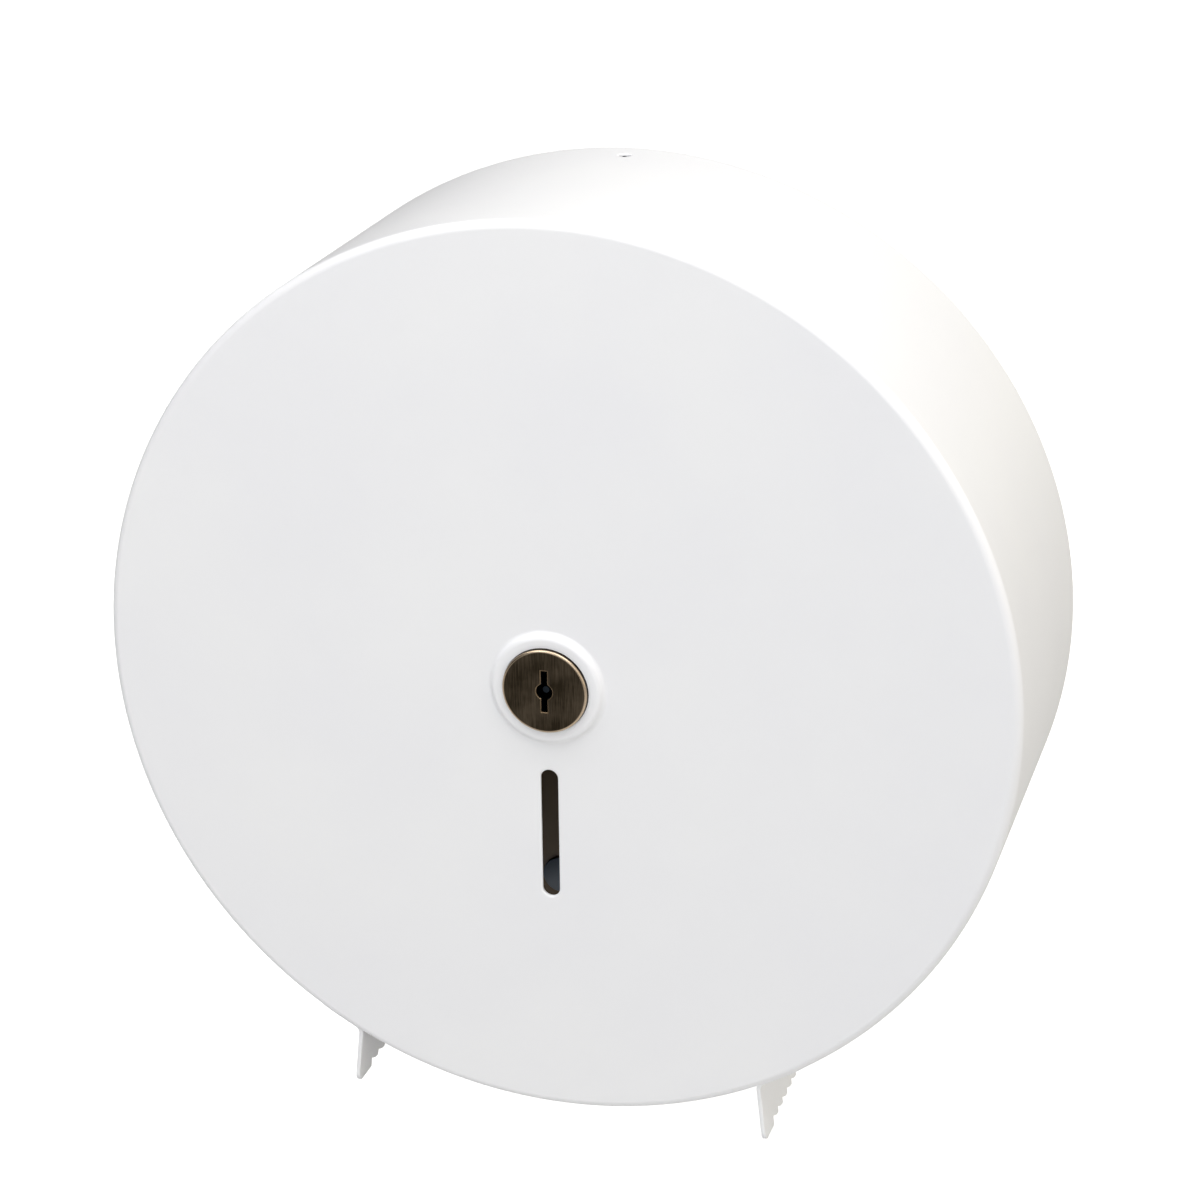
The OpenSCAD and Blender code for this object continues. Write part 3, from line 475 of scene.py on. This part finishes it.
def moulded_plastic(name, base, spark, roughness, clear):
    """Injection-moulded plastic: the fine spark-eroded skin of the mould, and a faint cloud of
    flow. A clearer one lets light into its surface."""
    made, tree = new_material(name)
    spot = node(tree, "ShaderNodeTexCoord").outputs["Object"]
    skin = node(tree, "ShaderNodeTexNoise", {
        "Vector": spot, "Scale": 1 / (spark * MM), "Detail": 3.0})
    flow = node(tree, "ShaderNodeTexNoise", {
        "Vector": spot, "Scale": 1 / (18 * MM), "Detail": 1.0})
    shade = node(tree, "ShaderNodeMapRange", {
        "Value": flow.outputs["Fac"], "From Min": 0.3, "From Max": 0.7})
    gloss = node(tree, "ShaderNodeMapRange", {
        "Value": skin.outputs["Fac"], "From Min": 0.3, "From Max": 0.7,
        "To Min": roughness - 0.05, "To Max": roughness + 0.05})
    bump = node(tree, "ShaderNodeBump", {
        "Height": skin.outputs["Fac"], "Strength": 0.25, "Distance": 0.02 * MM})
    tone = node(tree, "ShaderNodeMix", {
        FACTOR: shade.outputs[0], FIRST: darker(base, 0.88), SECOND: base}, data_type="RGBA")
    shader = node(tree, "ShaderNodeBsdfPrincipled", {
        "Base Color": tone.outputs[MIXED], "Roughness": gloss.outputs[0],
        "Normal": bump.outputs["Normal"], "IOR": 1.5, "Subsurface Weight": clear,
        "Subsurface Scale": 2 * MM})
    node(tree, "ShaderNodeOutputMaterial", {"Surface": shader.outputs[0]})
    return made


def material(slot):
    """The material of one of the record's slots, made the first time that it is asked for."""
    name = slot + "_finish"
    if name in bpy.data.materials:
        return bpy.data.materials[name]
    shades, sizes = bpy.context.scene.dispenser_colours, bpy.context.scene.dispenser_sizes
    # Each has its colour, the width of its grain in millimetres and its roughness
    make, *settings = {
        "white_powder_coat": (powder_coat, shades.coat, shades.coat_thick, 1.8, 0.4),
        "black_powder_coat": (powder_coat, shades.plate, shades.plate_thick, 1.5, 0.45),
        # The cap's edge takes a brighter bronze: wear and a painted highlight
        "antique_bronze": (
            brushed_bronze, shades.bronze, shades.rubbed, sizes.cap_radius, sizes.cap_front),
        # As cast and matt, blackened in hot oil, plated bright, and rolled
        "zinc_casting": (metal, shades.casting, 3.0, 0.45, 0.06),
        "blued_steel": (metal, shades.blued, 2.0, 0.32, 0.06),
        "zinc_plate": (metal, shades.zinc, 8.0, 0.3, 0.08),
        "spring_steel": (metal, shades.spring, 5.0, 0.34, 0.05),
        # Natural nylon is a little clear, and the filled plastics aren't
        "nylon": (moulded_plastic, shades.nylon, 0.6, 0.45, 0.15),
        "hub_plastic": (moulded_plastic, shades.hub, 0.8, 0.5, 0.0),
        "plug_plastic": (moulded_plastic, shades.plug, 0.8, 0.35, 0.0),
    }[slot]
    return make(name, *settings)


def finish_nodes(*names):
    """Gives the frame's own nodes the finish of their slots."""
    slots = {part["node"]: part["material_slot"] for part in frame["record"]["subparts"]}
    for name in names:
        NODES[name].material_slots[0].material = material(slots[name])


# The cover

def bend_axis(sizes):
    """Angle from six o'clock, x and z of the axis round which the right flange is bent."""
    reach = sizes.drum_radius + sizes.bend
    turn = math.asin((sizes.flange_x + sizes.bend * math.cos(sizes.lean)) / reach)
    return turn, reach * math.sin(turn), -reach * math.cos(turn)


def bend_corner(sizes, side):
    """Where the bend's line on the drum's wall meets the rounded front edge."""
    return place(side * bend_axis(sizes)[0], sizes.drum_radius, sizes.front - sizes.edge)


def on_bend(point, corner):
    return same(point.x, corner.x, WELD) and same(point.z, corner.z, WELD)


def slot_ends(sizes):
    """Heights of the centres of the slot's round ends, the upper one first."""
    top = -sizes.slot_drop - sizes.slot_width / 2
    return top, top - sizes.slot_length + sizes.slot_width


def flange_edge(sizes):
    """Lower outline of a flange, as distances from the wall and heights, from its front edge back:
    a rounded corner, a plain first tooth, the fine teeth, and a lug round the hinge's pin."""
    # The inner face of a leaning flange reaches lower than the outer one
    tip = sizes.sheet * math.sin(sizes.lean) - sizes.teeth_drop
    corner, heel, lug = 4 * MM, 1.5 * MM, 8 * MM
    first_width, first_tip = 12.5 * MM, tip - 1.3 * MM
    notch, back = tip + sizes.tooth, 0.12 * sizes.pitch
    crest = sizes.pitch - back
    start = sizes.flange_front - first_width
    count = int((start - sizes.hinge_front - lug) / sizes.pitch)
    points = [(sizes.flange_front - corner + x, z)
              for x, z in arc((0, first_tip + corner), corner, 0, -90, 8)]
    points += [(start + heel + x, z) for x, z in arc((0, first_tip + heel), heel, -90, -180, 5)]
    for i in range(count):
        here = start - i * sizes.pitch
        points += [(here - share * crest, notch - sizes.tooth * math.sin(share * math.pi / 2))
                   for share in (u / 8 for u in range(9))]
        points += [(here - crest + x, z) for x, z in arc((0, tip + back), back, -90, -180, 3)[1:]]
    points.append((start - count * sizes.pitch, notch))
    points += arc((sizes.hinge_front, -sizes.hinge_drop), lug, -78, -180, 10)
    return points


def ring_profile(sizes):
    """Radius and distance from the wall along the raised ring: its hollow foot, its round crest, the
    flat shoulder, and the step down to the seat round the lock's hole."""
    section, foot, front = sizes.ring_section, sizes.ring_foot, sizes.front
    shoulder, seat, middle, hole = 16 * MM, 13 * MM, 11.6 * MM, 10.15 * MM
    crest = (sizes.ring_radius, front - sizes.ring_sink)
    low = math.asin((foot + sizes.ring_sink) / (section + foot))
    profile = arc((crest[0] + (section + foot) * math.cos(low), front + foot), foot,
                  -90, -180 + math.degrees(low), 6)
    profile += arc(crest, section, math.degrees(low), 90, 10)[1:]
    profile += [(r, crest[1] + section) for r in (shoulder, sizes.ring_inside)]
    profile += [(sizes.ring_inside, d) for d in (front + section / 2, front)]
    return profile + [(r, front) for r in (seat, middle, hole)]


def roll_wall(sizes):
    """Rolls the disc's edge over into the drum's wall, which is open between the flanges. The line of
    faces at each bend is moved to where the bend is."""
    radius, wall = sizes.drum_radius, sizes.front - sizes.edge
    bend_turn = bend_axis(sizes)[0]
    step = 2 * math.pi / RIM_STEPS
    spare = step / 4
    column = round(bend_turn / step) * step
    pull(rounded(radius, sizes.front, sizes.edge, EDGE_STEPS))
    pick("edges", lambda e: both_ends(
        e, lambda p: same(polar(p)[2], wall) and abs(polar(p)[0]) > column - spare))
    rows = [wall] + FRONT_ROWS + [sizes.hole_front + d for d in HOLE_ROWS] + [LAST_ROW, sizes.rear]
    pull([(radius, d) for d in rows])
    mesh = bmesh.from_edit_mesh(active().data)
    for v in mesh.verts:
        turned, r, d = polar(v.co)
        if abs(abs(turned) - column) < spare:
            v.co = place(math.copysign(bend_turn, turned), r, d)


def press_ring(sizes):
    """Presses the raised ring, and the hole for the lock inside it."""
    profile = ring_profile(sizes)
    bpy.ops.mesh.select_all(action="DESELECT")
    add_circle(profile[0][0], (0, -sizes.front, 0), RING_STEPS)
    pull(profile)


def punch_slot(sizes):
    """Punches the slot: a disc is drawn out downwards and inset, and its middle taken out."""
    top, reach = slot_ends(sizes)[0], sizes.slot_width / 2 + SLOT_RIM
    bpy.ops.mesh.select_all(action="DESELECT")
    add_circle(reach, (0, -sizes.front, top), SLOT_STEPS, fill="NGON")

    def in_lower_half(vert):
        x, y, z = vert.co
        return (same(-y, sizes.front) and abs(x) < reach + WELD and abs(z - top) < reach + WELD
                and z < top)

    pick("verts", in_lower_half)
    bpy.ops.transform.translate(value=(0, 0, sizes.slot_width - sizes.slot_length))
    pick("faces", lambda f: len(f.verts) == SLOT_STEPS)
    bpy.ops.mesh.inset(thickness=SLOT_RIM)
    bpy.ops.transform.translate(value=(0, sizes.slot_dip, 0))
    bpy.ops.mesh.delete(type="FACE")


def fill_front(sizes):
    """Fills the flat front between its rounded edge, the ring's foot and the slot's rim."""
    top, bottom = slot_ends(sizes)
    slot_reach = sizes.slot_width / 2 + SLOT_RIM
    flat, ring_foot = sizes.drum_radius - sizes.edge, ring_profile(sizes)[0][0]

    def bounds_front(p):
        turned, r, d = polar(p)
        from_slot = math.hypot(p.x, p.z - min(max(p.z, bottom), top))
        return same(d, sizes.front) and (
            same(r, flat) or same(r, ring_foot) or same(from_slot, slot_reach, 0.1 * MM))

    pick("edges", lambda e: len(e.link_faces) < 2 and both_ends(e, bounds_front))
    bpy.ops.mesh.fill(use_beauty=True)


def punch_catch_hole(sizes):
    """Punches the hole at the top: a block of the wall's faces gives way to the round hole and a
    collar of faces between both."""
    radius, hole = sizes.drum_radius, sizes.hole_front
    half_width, half_depth, collar = 3.2 * radius * (2 * math.pi / RIM_STEPS), 6.7 * MM, 3.4 * MM
    outside = half_depth + 0.3 * MM

    def in_block(face):
        p = face.calc_center_median()
        return p.z > radius / 2 and abs(p.x) < half_width and abs(-p.y - hole) < half_depth

    pick("faces", in_block)
    bpy.ops.mesh.delete(type="FACE")
    bpy.ops.mesh.select_all(action="DESELECT")
    add_circle(collar, (0, -hole, radius), HOLE_STEPS, turn=(0, 0, 0))
    bpy.ops.mesh.extrude_region_move(TRANSFORM_OT_translate={"value": (0, 0, 0)})
    shrink = sizes.hole / 2 / collar
    bpy.ops.transform.resize(value=(shrink, shrink, 1), center_override=(0, -hole, radius))

    # The flat rings are laid on the drum
    pick("verts", lambda v: same(v.co.z, radius)
         and math.hypot(v.co.x, v.co.y + hole) < collar + WELD)
    mesh = bmesh.from_edit_mesh(active().data)
    for v in mesh.verts:
        if v.select:
            v.co.z = math.sqrt(radius ** 2 - v.co.x ** 2)

    def beside_collar(p):
        turned, r, d = polar(p)
        return (p.z > radius / 2 and same(r, radius) and abs(d - hole) < outside
                and math.hypot(p.x, p.y + hole) > collar - WELD)

    pick("edges", lambda e: len(e.link_faces) == 1 and both_ends(e, beside_collar))
    bpy.ops.mesh.bridge_edge_loops()


def bend_flange(sizes, side):
    """Bends a flange out of the wall, draws its outline and the hole for the pin, and fills it."""
    wall = sizes.front - sizes.edge
    turn, axis_x, axis_z = bend_axis(sizes)
    corner = bend_corner(sizes, side)
    pick("verts", lambda v: (v.co - corner).length < 0.1 * MM)
    for _ in range(2):
        bpy.ops.mesh.extrude_region_move(
            TRANSFORM_OT_translate={"value": (0, (wall - sizes.flange_front) / 2, 0)})
    pick("edges", lambda e: both_ends(e, lambda p: on_bend(p, corner)))
    bpy.ops.mesh.spin(steps=BEND_STEPS, angle=side * (math.pi / 2 + sizes.lean - turn),
                      center=(side * axis_x, 0, axis_z), axis=(0, 1, 0))
    end_x = side * (axis_x - sizes.bend * math.cos(sizes.lean))
    end_z = axis_z - sizes.bend * math.sin(sizes.lean)
    end = Vector((end_x, -wall, end_z))
    mesh = bmesh.from_edit_mesh(active().data)
    if not any((v.co - end).length < 0.2 * MM for v in mesh.verts):
        raise RuntimeError("the bend of a flange went the wrong way")

    def lay(distance, z):
        """The point of the flange's outer face at a distance from the wall and a height."""
        x = sizes.flange_x + (axis_z - z) * math.tan(sizes.lean)
        return Vector((side * x, -distance, z))

    def on_flange(p):
        return p.x * side > 0 and same(p.x, lay(0, p.z).x, 0.03 * MM) and p.z < end_z + WELD

    # Behind the lug the outline climbs to the wall's rear rim
    climb = lay(2.5 * MM, 3 * MM - sizes.hinge_drop)
    draw([Vector((end_x, -sizes.flange_front, end_z))]
         + [lay(d, z) for d, z in flange_edge(sizes)]
         + [climb, Vector((end_x, -sizes.rear, end_z))])
    bpy.ops.mesh.select_all(action="DESELECT")
    add_circle(PIN_HOLE_RADIUS, lay(sizes.hinge_front, -sizes.hinge_drop), PIN_STEPS,
               turn=(0, math.pi / 2 - side * sizes.lean, 0))
    pick("verts", lambda v: on_flange(v.co))
    bpy.ops.mesh.remove_doubles(threshold=WELD)
    pick("edges", lambda e: len(e.link_faces) < 2 and both_ends(e, on_flange))
    bpy.ops.mesh.fill(use_beauty=True)


def raise_lip(sizes, side):
    """Beside a bend the wall's front edge stands out of the rounded edge. It is a strip that starts
    in the wall, runs level for a while and dips back into it."""
    wall, corner, bend_turn = sizes.front - sizes.edge, bend_corner(sizes, side), bend_axis(sizes)[0]
    root, dip, sink = 1.2 * MM, 0.7 * MM, 0.01 * MM
    level, fall = 0.55, 0.45
    stand = sizes.flange_front - wall
    pick("edges", lambda e: both_ends(e, lambda p: on_bend(p, corner) and -p.y > wall - WELD))
    mesh = bmesh.from_edit_mesh(active().data)
    before = set(mesh.verts)
    bpy.ops.mesh.spin(
        steps=LIP_STEPS, angle=side * sizes.lip_turn, center=(0, 0, 0), axis=(0, 1, 0))
    mesh = bmesh.from_edit_mesh(active().data)
    for v in set(mesh.verts) - before:
        turned, r, d = polar(v.co)
        along = (turned * side - bend_turn) / sizes.lip_turn
        low = wall - root
        high = sizes.flange_front - max(0, along - level) / fall * (stand + dip)
        v.co = place(turned, sizes.drum_radius - sink, low + (high - low) * ((d - wall) / stand))


def build_cover(sizes):
    """The drum: a disc's edge rolled over into the wall, with the raised ring, the slot, the hole
    and the two flanges, as one sheet that is then given its thickness."""
    piece = start_circle(
        "drum_cover", sizes.drum_radius - sizes.edge, (0, -sizes.front, 0), RIM_STEPS)
    roll_wall(sizes)
    press_ring(sizes)
    punch_slot(sizes)
    fill_front(sizes)
    punch_catch_hole(sizes)
    for side in (1, -1):
        bend_flange(sizes, side)
        raise_lip(sizes, side)
    face_out(sizes.front)
    thicken(piece, sizes.sheet, sizes.lip)
    smooth(piece)
    return piece


# The lock cap and the plugs

def keyhole_outline():
    """Outline of the keyhole: a round middle with a narrow slot up and down."""
    half, centre, top = 1.0 * MM, 2.7 * MM, 7.15 * MM
    turn = math.degrees(math.acos(half / centre))
    right = [(half, top)] + arc((0, 0), centre, turn, -turn, KEYHOLE_STEPS) + [(half, -top)]
    return right + [(-x, z) for x, z in reversed(right)]


def build_cap(sizes):
    """The lock cap: a pressed cup with a rounded edge, open behind, with the keyhole cut in its
    front."""
    radius, edge, front, sheet = sizes.cap_radius, sizes.cap_edge, sizes.cap_front, 1.0 * MM
    piece = start_circle("lock_cap", radius - edge, (0, -front, 0), CAP_STEPS)
    pull(rounded(radius, front, edge, CAP_EDGE_STEPS) + [(radius, -CAP_HIGH.y)])
    points = [Vector((x, -front, z)) for x, z in keyhole_outline()]
    draw(points + points[:1])
    bpy.ops.mesh.remove_doubles(threshold=WELD)
    pick("edges", lambda e: len(e.link_faces) < 2 and both_ends(e, lambda p: same(-p.y, front)))
    bpy.ops.mesh.fill(use_beauty=True)
    face_out(front)
    thicken(piece, sheet, sizes.cap_lip)
    smooth(piece)
    return piece


def paint_keyhole_wear_and_glint(piece, sizes):
    """The keyhole's rounded edge gets a brighter bronze: partly metal worn by the key, partly a painted
    glint.
    """
    wear_and_glint, keyhole_reach = bpy.context.scene.dispenser_colours.keyhole, 9 * MM
    piece.data.materials.append(metal("rubbed_bronze", wear_and_glint, 1.5, 0.24, 0.05))
    for face in piece.data.polygons:
        x, y, z = face.center
        if WELD < sizes.cap_front + y < sizes.cap_lip and math.hypot(x, z) < keyhole_reach:
            face.material_index = 1


def build_plugs(sizes):
    """Two moulded plugs: a neck in the hole, and a head with a rounded rim and a shallow crown."""
    low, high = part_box("hole_plugs")
    front, back, head, neck = -low.y, -high.y, sizes.plug_head, sizes.plug_neck
    plate, foot, rim, crown = 1.5 * MM, 0.3 * MM, 0.6 * MM, 0.75 * MM
    profile = [(neck, back), (neck, plate), (head - foot, plate)]
    profile += arc((head - foot, plate + foot), foot, -90, 0, 4)[1:]
    profile += arc((head - rim, front - crown - rim), rim, 0, 90, 8)
    profile += [((head - rim) * share, front - crown + crown * (1 - share ** 2))
                for share in (1 - i / 9 for i in range(1, 9))]
    piece = start_circle("moulded_hole_plugs", neck, (0, -back, 0), PLUG_STEPS, fill="NGON")
    pull(profile)
    bpy.ops.mesh.select_all(action="SELECT")
    bpy.ops.mesh.normals_make_consistent(inside=False)
    bpy.ops.transform.translate(value=(-sizes.plug_x, 0, -sizes.plug_drop))
    bpy.ops.mesh.duplicate_move(TRANSFORM_OT_translate={"value": (2 * sizes.plug_x, 0, 0)})
    smooth(piece)
    return piece


class DISPENSER_OT_cover(bpy.types.Operator):
    """Builds the drum cover with its ring, slot, hole and toothed flanges"""
    bl_idname = "dispenser.cover"
    bl_label = "Drum cover"

    def execute(self, context):
        piece = build_cover(context.scene.dispenser_sizes)
        finish_piece(piece, "cover", "white_powder_coat", "cover_shell")
        return {"FINISHED"}


class DISPENSER_OT_lock(bpy.types.Operator):
    """Builds the lock cap and finishes the lock behind it"""
    bl_idname = "dispenser.lock"
    bl_label = "Lock"

    def execute(self, context):
        piece = build_cap(context.scene.dispenser_sizes)
        finish_piece(piece, "cover", "antique_bronze", "lock_face")
        # The keyhole's edge gets worn bronze with a painted glint
        paint_keyhole_wear_and_glint(piece, context.scene.dispenser_sizes)
        finish_nodes("lock_barrel", "lock_washer", "lock_nut", "lock_rotor", "key_post", "lock_cam",
                     "cam_washer", "cam_screw")
        return {"FINISHED"}


class DISPENSER_OT_carrier(bpy.types.Operator):
    """Finishes back plate, spindle, hub, hinge and catch, and builds the plugs"""
    bl_idname = "dispenser.carrier"
    bl_label = "Back plate and roll carrier"

    def execute(self, context):
        finish_nodes("back_plate", "spindle_flange", "spindle_tube", "spindle_rivets",
                     "keeper_plate", "thrust_washer", "roll_hub", "hub_bush_rear",
                     "hub_bush_front", "brake_washer", "hub_circlip", "hinge_pin_left",
                     "hinge_pin_right", "hinge_washer_left", "hinge_washer_right",
                     "hinge_bush_left", "hinge_bush_right", "pin_clips", "catch_spring",
                     "catch_rivets")
        plugs = build_plugs(context.scene.dispenser_sizes)
        finish_piece(plugs, "base", "plug_plastic", "hole_plugs")
        return {"FINISHED"}


# Stage

def floor_material(base):
    """Matt painted board: pale to the camera, and greyer in the light that it gives back."""
    made, tree = new_material("pale_board")
    spot = node(tree, "ShaderNodeTexCoord").outputs["Object"]
    cloud = node(tree, "ShaderNodeTexNoise", {"Vector": spot, "Scale": 4.0, "Detail": 2.0})
    tone = node(tree, "ShaderNodeMix", {
        FACTOR: cloud.outputs["Fac"], FIRST: darker(base, 0.97), SECOND: base}, data_type="RGBA")
    # The board's far parts fade into the white round it
    away = node(tree, "ShaderNodeVectorMath", {0: spot}, operation="LENGTH")
    fade = node(tree, "ShaderNodeMapRange", {
        "Value": away.outputs["Value"], "From Min": 0.3, "From Max": 0.8, "To Min": 0.7,
        "To Max": 0.9})
    glow = node(tree, "ShaderNodeEmission", {
        "Color": linear("FFFFFF"), "Strength": fade.outputs[0]})
    pale = node(tree, "ShaderNodeBsdfDiffuse", {"Color": tone.outputs[MIXED]})
    grey = node(tree, "ShaderNodeBsdfDiffuse", {"Color": linear("DADADA")})
    path = node(tree, "ShaderNodeLightPath")
    lit = node(tree, "ShaderNodeAddShader", {0: pale.outputs[0], 1: glow.outputs[0]})
    top = node(tree, "ShaderNodeMixShader", {
        0: path.outputs["Is Camera Ray"], 1: grey.outputs[0], 2: lit.outputs[0]})
    # From below the board lets the view through
    under = node(tree, "ShaderNodeNewGeometry").outputs["Backfacing"]
    clear = node(tree, "ShaderNodeBsdfTransparent")
    board = node(tree, "ShaderNodeMixShader", {0: under, 1: top.outputs[0], 2: clear.outputs[0]})
    node(tree, "ShaderNodeOutputMaterial", {"Surface": board.outputs[0]})
    return made


def lay_floor(context):
    """A pale floor below the drum, low enough for the open cover to clear it."""
    sizes = context.scene.dispenser_sizes
    across, room = 6, 20 * MM
    open_low = sizes.hinge_front - sizes.hinge_drop - sizes.cap_front
    bpy.ops.object.select_all(action="DESELECT")
    bpy.ops.mesh.primitive_plane_add(size=across, location=(0, 0, open_low - room))
    floor = active()
    floor.name = "floor"
    floor.data.materials.append(floor_material(context.scene.dispenser_colours.floor))


def light_world(context):
    """The room: white where the camera looks, and dark apart from a pale warm wall on the right,
    whose light grows towards its middle."""
    world = bpy.data.worlds.new("studio")
    context.scene.world = world
    world.use_nodes = True
    tree = world.node_tree
    tree.nodes.clear()
    path = node(tree, "ShaderNodeLightPath")
    seen = node(tree, "ShaderNodeMath", {
        0: path.outputs["Is Camera Ray"], 1: path.outputs["Is Transmission Ray"]},
        operation="MAXIMUM")
    way = node(tree, "ShaderNodeTexCoord").outputs["Generated"]
    toward = node(tree, "ShaderNodeVectorMath", {0: way, 1: (1, 0, 0)}, operation="DOT_PRODUCT")
    side = node(tree, "ShaderNodeMath", {0: toward.outputs["Value"], 1: 0.0}, operation="MAXIMUM")
    wall = node(tree, "ShaderNodeMath", {0: side.outputs[0], 1: 1.28}, operation="MULTIPLY")
    soft = node(tree, "ShaderNodeBackground", {
        "Color": linear("FFFAEE"), "Strength": wall.outputs[0]})
    white = node(tree, "ShaderNodeBackground", {"Color": linear("FFFFFF"), "Strength": 1.0})
    room = node(tree, "ShaderNodeMixShader", {
        0: seen.outputs[0], 1: soft.outputs[0], 2: white.outputs[0]})
    node(tree, "ShaderNodeOutputWorld", {"Surface": room.outputs[0]})


def add_lamp(context, name, spot, side, watts, shade):
    """A square soft lamp that faces the object."""
    data = bpy.data.lights.new(name, "AREA")
    data.size = side
    data.energy = watts
    data.color = linear(shade)[:3]
    lamp = bpy.data.objects.new(name, data)
    lamp.location = spot
    way = Vector(LAMP_TARGET) - Vector(spot)
    lamp.rotation_euler = way.to_track_quat("-Z", "Y").to_euler()
    context.scene.collection.objects.link(lamp)


def set_camera(context):
    """The camera of the photograph."""
    data = bpy.data.cameras.new("photo_view")
    data.lens = CAMERA_LENS
    data.sensor_width = 36
    data.clip_start = 0.01
    camera = bpy.data.objects.new("photo_view", data)
    context.scene.collection.objects.link(camera)
    rows = [[axis[i] for axis in CAMERA_AXES] + [CAMERA_PLACE[i]] for i in range(3)]
    camera.matrix_world = Matrix(rows + [[0, 0, 0, 1]])
    context.scene.camera = camera
    context.scene.view_settings.view_transform = "Standard"


class DISPENSER_OT_stage(bpy.types.Operator):
    """Sets up the floor, the light and the camera"""
    bl_idname = "dispenser.stage"
    bl_label = "Stage"

    def execute(self, context):
        lay_floor(context)
        light_world(context)
        for lamp in LAMPS:
            add_lamp(context, *lamp)
        set_camera(context)
        return {"FINISHED"}


class DISPENSER_PT_sidebar(bpy.types.Panel):
    """Lists the steps that dress the dispenser"""
    bl_idname = "DISPENSER_PT_sidebar"
    bl_label = "Dispenser"
    bl_space_type = "VIEW_3D"
    bl_region_type = "UI"
    bl_category = "Dispenser"

    def draw(self, context):
        for step in STEPS:
            self.layout.operator(step.bl_idname)


STEPS = (DISPENSER_OT_cover, DISPENSER_OT_lock, DISPENSER_OT_carrier, DISPENSER_OT_stage)
CLASSES = (DispenserSizes, DispenserColours) + STEPS + (DISPENSER_PT_sidebar,)


def register():
    for kind in CLASSES:
        bpy.utils.register_class(kind)
    bpy.types.Scene.dispenser_sizes = bpy.props.PointerProperty(type=DispenserSizes)
    bpy.types.Scene.dispenser_colours = bpy.props.PointerProperty(type=DispenserColours)


def unregister():
    del bpy.types.Scene.dispenser_colours
    del bpy.types.Scene.dispenser_sizes
    for kind in reversed(CLASSES):
        bpy.utils.unregister_class(kind)


def main():
    register()
    bpy.ops.dispenser.cover()
    bpy.ops.dispenser.lock()
    bpy.ops.dispenser.carrier()
    bpy.ops.dispenser.stage()


if __name__ == "__main__":
    main()
